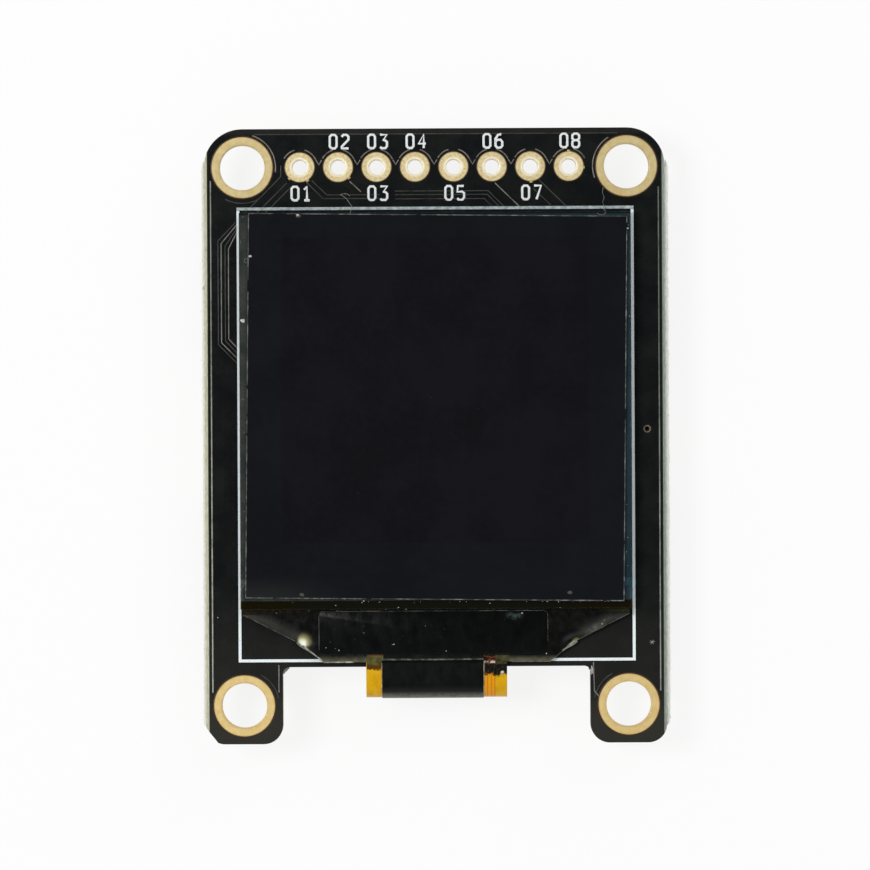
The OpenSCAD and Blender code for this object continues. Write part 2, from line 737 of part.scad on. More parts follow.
module large_capacitors() { color("#9a7b58") part_body(large_l, large_w, large_h, large_cap_spots); }
module small_capacitors() { color("#a88a64") part_body(small_l, small_w, small_cap_h, small_cap_spots); }
module resistors() { color("#1a1a1c") part_body(small_l, small_w, resistor_h, resistor_spots); }
module resistor_ends() { color("#c4c7c9") part_ends(small_l, small_w, resistor_h, resistor_spots); }

module capacitor_ends() {
    color("#c4c7c9") {
        part_ends(large_l, large_w, large_h, large_cap_spots);
        part_ends(small_l, small_w, small_cap_h, small_cap_spots);
    }
}

module jumper_pads() {
    color("#d7be82") for (s = jumper_spots, side = [-1, 1]) on_back(s[0], s[1], 0)
        translate([side * (jumper_pad[0] + jumper_gap) / 2, 0, 0])
            block(jumper_pad[0], jumper_pad[1], plating_t);
}

board();
mounting_rings();
pin_pads();
outline_print();
mounting_tape();
cap_glass();
drying_film();
light_layers();
front_glass();
polariser();
film();
film_coat();
driver_chip();
chip_tape();
tail_tape();
tail_pads();
tail_solder();
left_socket();
right_socket();
left_contacts();
right_contacts();
left_anchors();
right_anchors();
level_shifter();
level_shifter_legs();
regulator();
regulator_legs();
boost_converter();
boost_converter_legs();
boost_diode();
boost_diode_legs();
transistors();
transistor_legs();
coil_shield();
coil_drum();
coil_winding();
coil_terminals();
large_capacitors();
small_capacitors();
capacitor_ends();
resistors();
resistor_ends();
jumper_pads();
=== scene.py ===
import math
import random

import bmesh
import bpy
from mathutils import Matrix, Vector


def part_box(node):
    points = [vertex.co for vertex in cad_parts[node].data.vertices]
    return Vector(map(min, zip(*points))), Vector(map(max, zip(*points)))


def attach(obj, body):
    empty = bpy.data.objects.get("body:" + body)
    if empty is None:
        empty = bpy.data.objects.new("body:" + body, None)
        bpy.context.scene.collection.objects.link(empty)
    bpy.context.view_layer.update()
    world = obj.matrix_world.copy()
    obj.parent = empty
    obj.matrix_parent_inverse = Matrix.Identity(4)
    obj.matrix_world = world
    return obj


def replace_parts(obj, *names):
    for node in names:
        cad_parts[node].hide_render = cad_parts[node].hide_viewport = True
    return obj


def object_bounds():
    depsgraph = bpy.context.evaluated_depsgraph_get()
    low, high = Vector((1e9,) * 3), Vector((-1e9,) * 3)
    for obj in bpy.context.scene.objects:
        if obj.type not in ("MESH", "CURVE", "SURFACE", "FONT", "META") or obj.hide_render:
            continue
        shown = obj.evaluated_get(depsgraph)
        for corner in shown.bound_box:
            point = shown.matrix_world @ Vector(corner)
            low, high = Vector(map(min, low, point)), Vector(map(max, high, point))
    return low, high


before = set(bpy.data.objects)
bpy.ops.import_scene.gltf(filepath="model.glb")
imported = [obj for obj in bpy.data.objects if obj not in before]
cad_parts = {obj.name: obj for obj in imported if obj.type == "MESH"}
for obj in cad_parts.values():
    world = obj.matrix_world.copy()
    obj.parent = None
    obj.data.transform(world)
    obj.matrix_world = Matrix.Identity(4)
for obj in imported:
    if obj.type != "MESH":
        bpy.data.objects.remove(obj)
cad_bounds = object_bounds()

MM = 0.001
chance = random.Random(11)


# Sizes that come from the frame, in mm

def box_mm(node):
    low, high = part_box(node)
    return [v / MM for v in low], [v / MM for v in high]


board_low = box_mm("board")[0]
ring_high = box_mm("mounting_rings")[1]
glass_low, glass_high = box_mm("front_glass")
pol_low, pol_high = box_mm("polariser")
active_low, active_high = box_mm("light_layers")
tape_low, tape_high = box_mm("chip_tape")
tail_low, tail_high = box_mm("tail_tape")

PITCH = 2.54
HOLE_R = 1.5
RING_R = 2.02
PIN_R = 0.5
VIA_R = 0.15
BACK_Z = board_low[2]
BOARD_T = -BACK_Z
PLATING = ring_high[2]
HOLE_X = ring_high[0] - RING_R
HOLE_Y = ring_high[1] - RING_R
HALF_W = HOLE_X + PITCH
NOTCH_X = HOLE_X - PITCH
NOTCH_Y = board_low[1] + 2 * PITCH
VIA = (HALF_W - 1.25, 0.4)
PINS = [(i - 3.5) * PITCH for i in range(8)]
PIN_Y = HOLE_Y
TRACK_X = 14.8
TRACK_TOP = 19.96
WEB_LOW, WEB_HIGH = -19.2, 18.2
WEB_T = 0.36
LEG_PITCH = 0.65

POLARISER_SIZE = (25.03, 25.42)
POLARISER_TURN = -0.7
POLARISER_SHIFT = 0.06

# The film leaves the glass at its bend and slants down to its waist. Its outline runs
# from the tips of its wings in to its knees and on to its waist, on each side.
BEND_Y = glass_low[1] - 0.06
SLOPE = math.radians(4.63)
WAIST_Y = box_mm("film_coat")[0][1]
WAIST = [(side * 7.45, WAIST_Y) for side in (-1, 1)]
KNEE = [(side * 9.15, WAIST_Y + 1.33) for side in (-1, 1)]
WING = [(side * 12.75, -11.75) for side in (-1, 1)]
CURL_X, CURL_Y = 7.9, BEND_Y - 0.3
ON_GLASS = glass_high[2] + 0.004


# Finishes

def paint(red, green, blue):
    """A colour given as it shows on a screen, from 0 to 255, made linear for a shader."""
    shares = [value / 255 for value in (red, green, blue)]
    linear = [s / 12.92 if s < 0.04045 else ((s + 0.055) / 1.055) ** 2.4 for s in shares]
    return (*linear, 1.0)


class Finish:
    """A material being put together. Its patterns are drawn in mm, by the place on the object."""

    def __init__(self, name, **constants):
        self.material = bpy.data.materials.new(name)
        self.material.use_nodes = True
        self.nodes = self.material.node_tree.nodes
        self.nodes.clear()
        output = self.nodes.new("ShaderNodeOutputMaterial")
        self.shader = self.nodes.new("ShaderNodeBsdfPrincipled")
        self.feed(output.inputs["Surface"], self.shader.outputs["BSDF"])
        for socket, value in constants.items():
            self.shader.inputs[socket.replace("_", " ")].default_value = value
        coordinates = self.nodes.new("ShaderNodeTexCoord")
        mapping = self.nodes.new("ShaderNodeMapping")
        mapping.inputs["Scale"].default_value = (1 / MM, 1 / MM, 1 / MM)
        self.feed(mapping.inputs["Vector"], coordinates.outputs["Object"])
        self.place = mapping.outputs["Vector"]
        axes = self.nodes.new("ShaderNodeSeparateXYZ")
        self.feed(axes.inputs[0], self.place)
        self.x, self.y, self.z = axes.outputs

    def feed(self, socket, value):
        if isinstance(value, bpy.types.NodeSocket):
            self.material.node_tree.links.new(value, socket)
        else:
            socket.default_value = value

    def calc(self, operation, first, second=0.0, third=0.0):
        node = self.nodes.new("ShaderNodeMath")
        node.operation = operation
        for socket, value in zip(node.inputs, (first, second, third)):
            self.feed(socket, value)
        return node.outputs[0]

    def plus(self, first, second):
        return self.calc("ADD", first, second)

    def minus(self, first, second):
        return self.calc("SUBTRACT", first, second)

    def times(self, first, second):
        return self.calc("MULTIPLY", first, second)

    def most(self, first, second):
        return self.calc("MAXIMUM", first, second)

    def above(self, value, limit):
        return self.calc("GREATER_THAN", value, limit)

    def size_of(self, value):
        return self.calc("ABSOLUTE", value)

    def reach(self, across, along):
        return self.calc("SQRT", self.plus(self.times(across, across), self.times(along, along)))

    def ramp(self, value, low, high, start=0.0, end=1.0):
        """Goes smoothly from start to end while the value goes from low to high."""
        node = self.nodes.new("ShaderNodeMapRange")
        node.interpolation_type = "SMOOTHSTEP"
        for socket, amount in zip(node.inputs[:5], (value, low, high, start, end)):
            self.feed(socket, amount)
        return node.outputs[0]

    def between(self, value, low, high, soft=0.02):
        """One between low and high, and nothing outside them."""
        rise = self.ramp(value, low - soft, low + soft)
        fall = self.ramp(value, high - soft, high + soft, 1.0, 0.0)
        return self.times(rise, fall)

    def stretched(self, across, along, upright=1.0):
        node = self.nodes.new("ShaderNodeMapping")
        node.inputs["Scale"].default_value = (1 / across, 1 / along, 1 / upright)
        self.feed(node.inputs["Vector"], self.place)
        return node.outputs["Vector"]

    def grain(self, size, detail=3.0, place=None):
        """Soft cloudy noise whose lumps are about as large as size, in mm."""
        node = self.nodes.new("ShaderNodeTexNoise")
        node.inputs["Scale"].default_value = 1 / size
        node.inputs["Detail"].default_value = detail
        node.inputs["Roughness"].default_value = 0.6
        self.feed(node.inputs["Vector"], place or self.place)
        return node.outputs[0]

    def uneven(self, size, low, high, detail=3.0):
        """A value that wanders between low and high."""
        return self.ramp(self.grain(size, detail), 0.3, 0.7, low, high)

    def cells(self, size):
        node = self.nodes.new("ShaderNodeTexVoronoi")
        node.inputs["Scale"].default_value = 1 / size
        self.feed(node.inputs["Vector"], self.place)
        return node.outputs["Distance"]

    def ridges(self, size, direction, wander=0.0):
        node = self.nodes.new("ShaderNodeTexWave")
        node.bands_direction = direction
        node.inputs["Scale"].default_value = 1 / size
        node.inputs["Distortion"].default_value = wander
        node.inputs["Detail"].default_value = 2.0
        self.feed(node.inputs["Vector"], self.place)
        return node.outputs[1]

    def distance(self, x, y, across=1.0, along=1.0, turn=0.0):
        """Distance from a spot, counted in the spot's own half widths."""
        node = self.nodes.new("ShaderNodeMapping")
        node.vector_type = "TEXTURE"
        node.inputs["Location"].default_value = (x, y, 0)
        node.inputs["Rotation"].default_value = (0, 0, math.radians(turn))
        node.inputs["Scale"].default_value = (across, along, 1e6)
        self.feed(node.inputs["Vector"], self.place)
        length = self.nodes.new("ShaderNodeVectorMath")
        length.operation = "LENGTH"
        self.feed(length.inputs[0], node.outputs["Vector"])
        return length.outputs["Value"]

    def blend(self, share, first, second):
        """The first colour where share is 0, and the second where it is 1."""
        node = self.nodes.new("ShaderNodeMix")
        node.data_type = "RGBA"
        for socket, value in zip((node.inputs[0], node.inputs[6], node.inputs[7]), (share, first, second)):
            self.feed(socket, value)
        return node.outputs[2]

    def mottled(self, dark, light, size, detail=3.0, low=0.3, high=0.7):
        """Two colours in clouds about as large as size, in mm."""
        return self.blend(self.ramp(self.grain(size, detail), low, high), dark, light)

    def made(self, colour, roughness, height, depth):
        """The material in this colour and roughness, with bump as deep as depth, in mm."""
        bump = self.nodes.new("ShaderNodeBump")
        bump.inputs["Distance"].default_value = depth * MM
        self.feed(bump.inputs["Height"], height)
        self.feed(self.shader.inputs["Base Color"], colour)
        self.feed(self.shader.inputs["Roughness"], roughness)
        self.feed(self.shader.inputs["Normal"], bump.outputs[0])
        return self.material


def plain_finish(name, dark, light, size, smooth, matt, depth, **constants):
    """A finish with clouded colour, uneven gloss and a fine grain."""
    finish = Finish(name, **constants)
    fine = finish.grain(size / 6)
    roughness = finish.ramp(fine, 0.3, 0.7, smooth, matt)
    return finish.made(finish.mottled(dark, light, size, 4.0), roughness, fine, depth)


def mask_colour(finish):
    """Black lacquer with faint dust, greyer at the upper edge, with painted sheen towards the feet and
    painted light on the lower part, where the display and the film shade it.
    """
    lacquer = finish.mottled(paint(17, 20, 21), paint(25, 28, 27), 2.5, 5.0, 0.35)
    # Painted sheen: the lacquer is made greyer towards the feet.
    feet = finish.ramp(finish.y, -15.2, -19.0, 0.0, 0.85)
    upper = finish.ramp(finish.y, 19.8, 20.1, 0.0, 0.35)
    # Painted light: the lower part is made lighter where the display and the film shade it.
    lower = finish.ramp(finish.y, -9.0, -15.2, 0.0, 0.32)
    lacquer = finish.blend(finish.most(feet, finish.most(upper, lower)), lacquer, paint(54, 53, 48))
    dust = finish.ramp(finish.cells(0.55), 0.03, 0.06, 1.0, 0.0)
    patches = finish.ramp(finish.grain(1.2), 0.58, 0.72)
    return finish.blend(finish.times(dust, patches), lacquer, paint(58, 60, 58))


def laminate_colour(finish):
    """Sawn glass fibre and resin: pale, in thin layers, with torn darker spots, and painted shade on the
    right and next to the board's edge.
    """
    layers = finish.ramp(finish.grain(0.14, 4.0, finish.stretched(1.0, 3.0, 0.35)), 0.35, 0.65)
    cream = finish.blend(layers, paint(184, 184, 154), paint(222, 221, 202))
    green = finish.blend(layers, paint(160, 172, 160), paint(222, 227, 218))
    # Greener and dimmer on the right: partly the laminate's own tone, partly painted shade on the side away
    # from the light.
    pale = finish.blend(finish.ramp(finish.x, -2.0, 2.0), cream, green)
    side = finish.size_of(finish.x)
    # Painted shade: a darker band next to the board's edge, much stronger on the right.
    inner = finish.ramp(side, HALF_W - 0.12, HALF_W + 0.02, 1.0, 0.0)
    inner = finish.times(inner, finish.ramp(finish.x, -2.0, 2.0, 0.12, 0.55))
    pale = finish.blend(inner, pale, paint(118, 126, 112))
    outer = finish.ramp(side, HALF_W - 0.04, HALF_W + 0.14, 0.0, 0.85)
    pale = finish.blend(outer, pale, paint(246, 246, 238))
    torn = finish.grain(0.3, 5.0, finish.stretched(1.0, 1.6))
    return finish.blend(finish.ramp(torn, 0.6, 0.74, 0.0, 0.7), pale, paint(128, 126, 100))


def board_finish():
    """Lacquer on the faces, thin and tinted next to the sides, and laminate where the board is cut."""
    finish = Finish("lacquered_board", Specular_IOR_Level=0.13)
    side = finish.size_of(finish.x)
    edge = HALF_W - 0.13
    between_faces = finish.times(finish.above(finish.z, 0.03 - BOARD_T),
                                 finish.calc("LESS_THAN", finish.z, -0.03))
    beyond = finish.times(finish.above(side, edge), finish.between(finish.y, WEB_LOW - 0.05, WEB_HIGH + 0.15))
    cut = finish.most(between_faces, beyond)
    thin = finish.ramp(side, edge - 0.22, edge - 0.1, 0.0, 0.55)
    tint = finish.blend(finish.ramp(finish.x, -2.0, 2.0), paint(58, 58, 32), paint(42, 54, 42))
    lacquer = finish.blend(thin, mask_colour(finish), tint)
    roughness = finish.most(finish.uneven(1.5, 0.2, 0.32, 4.0), finish.times(cut, 0.8))
    fine = finish.grain(0.12)
    weave = finish.times(finish.ridges(1.1, "X", 0.6), finish.ridges(1.1, "Y", 0.6))
    height = finish.plus(finish.times(weave, 0.12), finish.times(fine, 0.2))
    height = finish.plus(height, finish.times(finish.times(cut, fine), 4.0))
    return finish.made(finish.blend(cut, lacquer, laminate_colour(finish)), roughness, height, 0.012)


def lacquer_finish(name, dark, light, specular=0.5, dull=None):
    """Lacquer over a track: the same black, a little grey on the ridge as a painted highlight."""
    finish = Finish(name, Specular_IOR_Level=specular)
    colour = finish.mottled(dark, light, 0.8, 5.0, 0.25, 0.6)
    # dull, when given, fades the painted highlight.
    if dull:
        colour = dull(finish, colour)
    return finish.made(colour, finish.uneven(0.3, 0.3, 0.5), finish.grain(0.08), 0.004)


def fading_ridge_highlight(finish, colour):
    """The painted highlight on the copper's edge fades towards the top and on the right."""
    share = finish.plus(finish.ramp(finish.y, -8.0, 9.0, 0.0, 0.42),
                        finish.ramp(finish.x, -1.0, 1.0, 0.0, 0.35))
    return finish.blend(share, colour, paint(30, 33, 32))


def mounting_gold_finish():
    """Matt gold, yellower at the lower holes, with painted shade at the hole's edge and at the ring's rim."""
    finish = Finish("mounting_gold", Metallic=0.5)
    reach = finish.reach(finish.minus(finish.size_of(finish.x), HOLE_X),
                         finish.minus(finish.size_of(finish.y), HOLE_Y))
    clouds = finish.ramp(finish.grain(0.5, 5.0), 0.3, 0.7)
    upper = finish.blend(clouds, paint(209, 188, 130), paint(222, 204, 152))
    lower = finish.blend(clouds, paint(229, 199, 128), paint(239, 213, 149))
    gold = finish.blend(finish.ramp(finish.y, -2.0, 2.0), lower, upper)
    # Painted shade at the hole's edge, then painted shadow of the lacquer's step at the rim.
    gold = finish.blend(finish.ramp(reach, 1.52, 1.66, 0.22, 0.0), gold, paint(186, 156, 104))
    gold = finish.blend(finish.ramp(reach, 1.93, RING_R, 0.0, 0.7), gold, paint(176, 140, 84))
    fine = finish.grain(0.07)
    return finish.made(gold, finish.ramp(fine, 0.3, 0.7, 0.42, 0.56), fine, 0.01)


def pin_gold_finish():
    """Mottled gold, with a painted highlight on the lip of the hole and painted shade at the ring's rim."""
    finish = Finish("pin_gold", Metallic=0.5)
    across = finish.calc("WRAP", finish.plus(finish.x, PITCH / 2), -PITCH / 2, PITCH / 2)
    reach = finish.reach(across, finish.minus(finish.y, PIN_Y))
    gold = finish.mottled(paint(214, 196, 142), paint(236, 218, 170), 0.16, 4.0, 0.36, 0.62)
    # Painted highlight on the lip of the hole, then painted shadow of the lacquer's step at the rim.
    gold = finish.blend(finish.ramp(reach, 0.72, 0.58), gold, paint(250, 242, 214))
    gold = finish.blend(finish.ramp(reach, 0.9, 0.97, 0.0, 0.7), gold, paint(176, 146, 92))
    return finish.made(gold, finish.uneven(0.1, 0.4, 0.58), finish.grain(0.1, 4.0), 0.014)


def print_finish():
    """White board print with pinholes, greyer along the upper run."""
    finish = Finish("white_print", Specular_IOR_Level=0.3)
    thin = finish.ramp(finish.grain(0.12, 4.0), 0.52, 0.72)
    white = finish.blend(finish.times(thin, 0.7), paint(244, 252, 254), paint(204, 216, 219))
    upper = finish.times(finish.between(finish.y, 14.9, 15.2, 0.03),
                         finish.ramp(finish.grain(0.35, 4.0), 0.35, 0.65, 0.6, 1.0))
    white = finish.blend(upper, white, paint(146, 158, 160))
    return finish.made(white, finish.ramp(thin, 0.0, 1.0, 0.55, 0.75), thin, 0.008)


def glass_finish():
    """Thin display glass: grey-green on the left, blue-green on the right, dark at both ends."""
    finish = Finish("display_glass", Transmission_Weight=0.91, IOR=1.5)
    left = finish.mottled(paint(150, 168, 160), paint(196, 204, 194), 1.2, 5.0, 0.35, 0.65)
    right = finish.mottled(paint(110, 160, 180), paint(140, 184, 200), 1.5)
    body = finish.blend(finish.ramp(finish.x, -3.0, 6.0), left, right)
    foot = finish.ramp(finish.size_of(finish.x), 8.0, 10.6)
    foot = finish.blend(foot, paint(76, 79, 58), paint(86, 75, 36))
    ends = finish.blend(finish.ramp(finish.y, 0.0, 1.0), foot, paint(70, 96, 98))
    middle = finish.between(finish.y, glass_low[1] + 0.56, glass_high[1] - 0.14, 0.04)
    flaws = finish.ramp(finish.grain(0.2, 5.0), 0.56, 0.72)
    roughness = finish.ramp(flaws, 0.0, 1.0, 0.01, 0.12)
    return finish.made(finish.blend(middle, ends, body), roughness, flaws, 0.0008)


def polariser_finish():
    """Near-black plastic sheet, with painted sheen towards its lower left corner. The square that can light
    up shows a shade warmer through it.
    """
    finish = Finish("polariser_sheet", Specular_IOR_Level=0.3)
    square = finish.times(finish.between(finish.x, active_low[0], active_high[0], 0.04),
                          finish.between(finish.y, active_low[1], active_high[1], 0.04))
    clouds = finish.ramp(finish.grain(4.0, 4.0), 0.35, 0.65)
    border = finish.blend(clouds, paint(20, 22, 25), paint(24, 25, 29))
    # Painted sheen towards the lower left corner.
    corner = finish.times(finish.ramp(finish.y, -9.0, -10.8), finish.ramp(finish.x, -5.0, -12.0))
    border = finish.blend(corner, border, paint(38, 39, 40))
    lit = finish.blend(clouds, paint(20, 20, 24), paint(24, 23, 28))
    dust = finish.ramp(finish.cells(1.7), 0.014, 0.022, 0.5, 0.0)
    sheet = finish.blend(dust, finish.blend(square, border, lit), paint(70, 70, 70))
    return finish.made(sheet, finish.uneven(0.5, 0.1, 0.16, 5.0), finish.grain(0.08), 0.0004)


def tail_root(finish, film):
    """Where the tail leaves the film: olive glue, copper with painted glints, a painted shadow of the board's
    edge on the left and a dark patch on the right.
    """
    front = finish.above(finish.z, -0.6)
    left = finish.times(front, finish.between(finish.x, -4.62, -3.52))
    right = finish.times(front, finish.between(finish.x, 3.1, 4.8))
    mottle = finish.ramp(finish.grain(0.35, 5.0), 0.3, 0.65)
    ragged = finish.plus(finish.y, finish.ramp(finish.grain(0.22, 4.0), 0.25, 0.75, -0.16, 0.16))

    # Painted shadow of the board's edge across the left strip.
    fade = finish.times(left, finish.ramp(ragged, WAIST_Y - 0.6, WAIST_Y - 0.42, 0.0, 0.94))
    film = finish.blend(fade, film, paint(66, 32, 8))
    olive = finish.blend(mottle, paint(62, 58, 28), paint(100, 92, 50))
    band = finish.between(finish.y, WAIST_Y - 0.2, WAIST_Y + 0.45, 0.04)
    film = finish.blend(finish.times(left, band), film, olive)

    # A dark patch with pale specks on the right strip.
    dark_patch = finish.times(right, finish.ramp(ragged, WAIST_Y - 0.98, WAIST_Y - 0.76))
    sparks = finish.ramp(finish.cells(0.16), 0.1, 0.2, 0.6, 0.0)
    film = finish.blend(dark_patch, film, finish.blend(sparks, paint(25, 21, 16), paint(120, 112, 96)))
    glue = finish.times(right, finish.between(finish.y, WAIST_Y - 0.14, WAIST_Y + 0.43, 0.03))
    film = finish.blend(glue, film, finish.blend(mottle, paint(46, 43, 22), paint(80, 76, 46)))
    copper = finish.times(glue, finish.between(finish.x, 3.0, 3.88))
    # Painted glints on the copper.
    glints = finish.ramp(finish.grain(0.14, 4.0, finish.stretched(1.8, 0.8)), 0.5, 0.64)
    film = finish.blend(copper, film, finish.blend(glints, paint(34, 18, 10), paint(122, 66, 38)))
    bars = finish.times(copper, finish.between(finish.y, WAIST_Y - 0.08, WAIST_Y + 0.06))
    bars = finish.times(bars, finish.ramp(finish.grain(0.18), 0.4, 0.56))
    return finish.blend(bars, film, paint(214, 192, 172))


def film_finish():
    """Amber film with copper along the right of its tail, with painted shade where the coat is over it, and
    dark where the glass is over it.
    """
    finish = Finish("amber_film", Specular_IOR_Level=0.2)
    clouds = finish.ramp(finish.grain(0.6, 4.0, finish.stretched(1.0, 1.8)), 0.3, 0.7)
    amber = finish.blend(clouds, paint(212, 158, 4), paint(228, 176, 14))
    copper = finish.between(finish.x, 3.1, 3.88, 0.03)
    amber = finish.blend(copper, amber, paint(232, 156, 10))
    for x in (3.36, 3.62, 3.84):
        line = finish.ramp(finish.size_of(finish.minus(finish.x, x)), 0.045, 0.02, 0.0, 0.75)
        amber = finish.blend(line, amber, paint(186, 104, 10))
    amber = tail_root(finish, amber)
    # Painted shade where the coat is over the film, with the bond's brown towards its ends.
    under_coat_shade = finish.times(finish.above(finish.y, WAIST_Y), finish.above(finish.z, -0.3))
    ends = finish.ramp(finish.size_of(finish.x), 7.5, 11.0)
    amber = finish.blend(under_coat_shade, amber, finish.blend(ends, paint(22, 24, 16), paint(52, 32, 10)))
    bonded = finish.ramp(finish.y, glass_low[1] + 0.36, glass_low[1] + 0.44)
    amber = finish.blend(bonded, amber, paint(12, 24, 28))
    return finish.made(amber, finish.uneven(0.2, 0.22, 0.38), finish.plus(copper, finish.grain(0.15)), 0.006)


def coat_finish():
    """Black coat on the film: brown next to the glass, with painted sheen on the wings and painted
    highlights, white and olive, where it is creased.
    """
    finish = Finish("film_coat_black", Specular_IOR_Level=0.35)
    clouds = finish.ramp(finish.grain(1.0, 4.0), 0.35, 0.65)
    coat = finish.blend(clouds, paint(10, 11, 10), paint(16, 16, 14))
    side = finish.size_of(finish.x)

    (knee_x, knee_y), (wing_x, wing_y) = KNEE[1], WING[1]
    rise = (wing_y - knee_y) / (wing_x - knee_x)
    edge = finish.calc("MULTIPLY_ADD", side, rise, knee_y - rise * knee_x)
    # Painted sheen along the slanting sides of the wings.
    wings = finish.ramp(finish.minus(finish.y, edge), 1.15, 0.3)
    for share in (finish.most(finish.ramp(finish.x, -7.9, -9.4), finish.ramp(finish.x, 9.0, 9.9)),
                  finish.ramp(finish.x, 11.2, 12.0, 1.0, 0.45),
                  finish.ramp(finish.y, glass_low[1] - 0.2, glass_low[1] - 0.5),
                  finish.ramp(clouds, 0.0, 1.0, 0.75, 1.0)):
        wings = finish.times(wings, share)
    coat = finish.blend(wings, coat, paint(50, 50, 46))

    root = finish.between(finish.y, glass_low[1] - 0.3, glass_low[1] + 0.2, 0.1)
    ends = finish.most(finish.ramp(finish.x, -7.6, -10.5), finish.ramp(finish.x, 10.4, 12.6))
    brown = finish.blend(finish.ramp(finish.x, -12.6, -11.2), paint(34, 30, 14), paint(24, 18, 8))
    brown = finish.blend(finish.ramp(finish.x, 0.0, 1.0), brown, paint(44, 45, 28))
    coat = finish.blend(finish.times(root, ends), coat, brown)

    lip = finish.ramp(finish.y, WAIST_Y + 0.5, WAIST_Y + 0.05)
    lip = finish.times(lip, finish.ramp(side, 3.4, 4.6, 0.12, 1.0))
    lip = finish.times(lip, finish.ramp(finish.grain(0.5, 5.0), 0.3, 0.6, 0.55, 1.0))
    coat = tail_root(finish, finish.blend(lip, coat, paint(96, 95, 76)))

    # Painted highlight in the left dimple: white at its core, olive round it.
    shade = finish.distance(-8.86, -13.62)
    dent_highlight = finish.blend(finish.ramp(shade, 0.72, 0.22), paint(50, 46, 20), paint(168, 160, 110))
    dent_highlight = finish.blend(finish.ramp(shade, 0.42, 0.08), dent_highlight, paint(250, 248, 232))
    coat = finish.blend(finish.ramp(finish.distance(-8.68, -13.42, 0.56, 0.56), 1.05, 0.65), coat, dent_highlight)
    # Painted highlight on the right crease: an olive tip and a pale streak.
    tip = finish.ramp(finish.distance(9.18, -13.53, 0.32, 0.2, 30), 1.0, 0.4)
    coat = finish.blend(tip, coat, paint(104, 98, 56))
    crease_highlight = finish.ramp(finish.distance(8.95, -13.8, 0.6, 0.2, 35), 1.0, 0.1)
    coat = finish.blend(crease_highlight, coat, paint(182, 184, 164))
    # Painted sheen beside the right crease.
    sheen = finish.ramp(finish.distance(10.5, -12.72, 1.0, 0.36, 30), 1.0, 0.2, 0.0, 0.55)
    sheen = finish.times(sheen, finish.ramp(finish.grain(0.4, 5.0), 0.3, 0.6))
    coat = finish.blend(sheen, coat, paint(112, 112, 104))
    return finish.made(coat, finish.uneven(0.4, 0.2, 0.32, 4.0), finish.grain(0.2, 4.0), 0.004)


def tape_finish(name, dark, light, gloss, fold=-100):
    """Black tape with faint wrinkles and a smudge, and a painted grey highlight where it turns over the fold.
    """
    finish = Finish(name, Specular_IOR_Level=0.15)
    black = finish.mottled(dark, light, 0.9, 5.0, 0.35, 0.68)
    smudge = finish.ramp(finish.distance(5.15, -11.85, 0.75, 0.4), 1.0, 0.2, 0.0, 0.8)
    smudge = finish.times(smudge, finish.ramp(finish.grain(0.3, 5.0), 0.42, 0.6))
    black = finish.blend(smudge, black, paint(66, 78, 78))
    # Painted highlight where the tape turns over the fold.
    turned_over = finish.ramp(finish.y, fold + 0.5, fold + 0.12)
    fold_highlight = finish.ramp(finish.grain(0.25, 5.0), 0.3, 0.6, 0.5, 1.0)
    black = finish.blend(finish.times(turned_over, fold_highlight), black, paint(98, 98, 88))
    wrinkles = finish.grain(0.5, 4.0, finish.stretched(1.0, 2.2))
    return finish.made(black, finish.ramp(wrinkles, 0.3, 0.7, gloss, gloss + 0.14), wrinkles, 0.012)


def chip_finish(name, marks=()):
    """Moulded chip plastic with a fine spark grain and a pin mark."""
    finish = Finish(name, Specular_IOR_Level=0.4)
    grain = finish.grain(0.05)
    colour = finish.mottled(paint(24, 24, 25), paint(38, 38, 39), 0.7, 4.0)
    dimple = 0.0
    for x, y in marks:
        dimple = finish.most(dimple, finish.ramp(finish.distance(x, y, 0.26, 0.26), 1.0, 0.85))
    if marks:
        colour = finish.blend(finish.times(dimple, 0.6), colour, paint(12, 12, 13))
    height = finish.minus(finish.times(grain, 0.4), dimple)
    return finish.made(colour, finish.ramp(grain, 0.3, 0.7, 0.42, 0.6), height, 0.02)


def metal_finish(name, dark, light, smooth, matt, size=0.3):
    """Tin or solder: bright metal with dull clouds and drawn lines."""
    finish = Finish(name, Metallic=1.0)
    lines = finish.grain(0.05, 3.0, finish.stretched(1.0, 1.0, 3.0))
    roughness = finish.ramp(lines, 0.3, 0.7, smooth, matt)
    return finish.made(finish.mottled(dark, light, size, 5.0), roughness, lines, 0.006)


def socket_finish():
    """Pale moulded plastic with short glass fibres and flow marks."""
    finish = Finish("socket_plastic", Specular_IOR_Level=0.4, Subsurface_Weight=0.08, Subsurface_Scale=0.0005)
    fibres = finish.grain(0.09, 4.0, finish.stretched(2.5, 1.0))
    ivory = finish.mottled(paint(214, 206, 184), paint(228, 222, 202), 1.1, 4.0, 0.35, 0.65)
    ivory = finish.blend(finish.ramp(fibres, 0.55, 0.75, 0.0, 0.5), ivory, paint(196, 186, 160))
    return finish.made(ivory, finish.ramp(fibres, 0.3, 0.7, 0.4, 0.55), fibres, 0.01)


def winding_finish():
    """Enamelled copper wire, turn next to turn, with painted shade between the turns and painted highlight on
    them.
    """
    finish = Finish("coil_wire", Metallic=1.0)
    turns = finish.ridges(0.11, "Z")
    # Painted shade and highlight: darker between the turns, lighter on them.
    copper = finish.blend(turns, paint(96, 44, 22), paint(204, 112, 62))
    return finish.made(copper, finish.uneven(0.1, 0.25, 0.4), turns, 0.03)


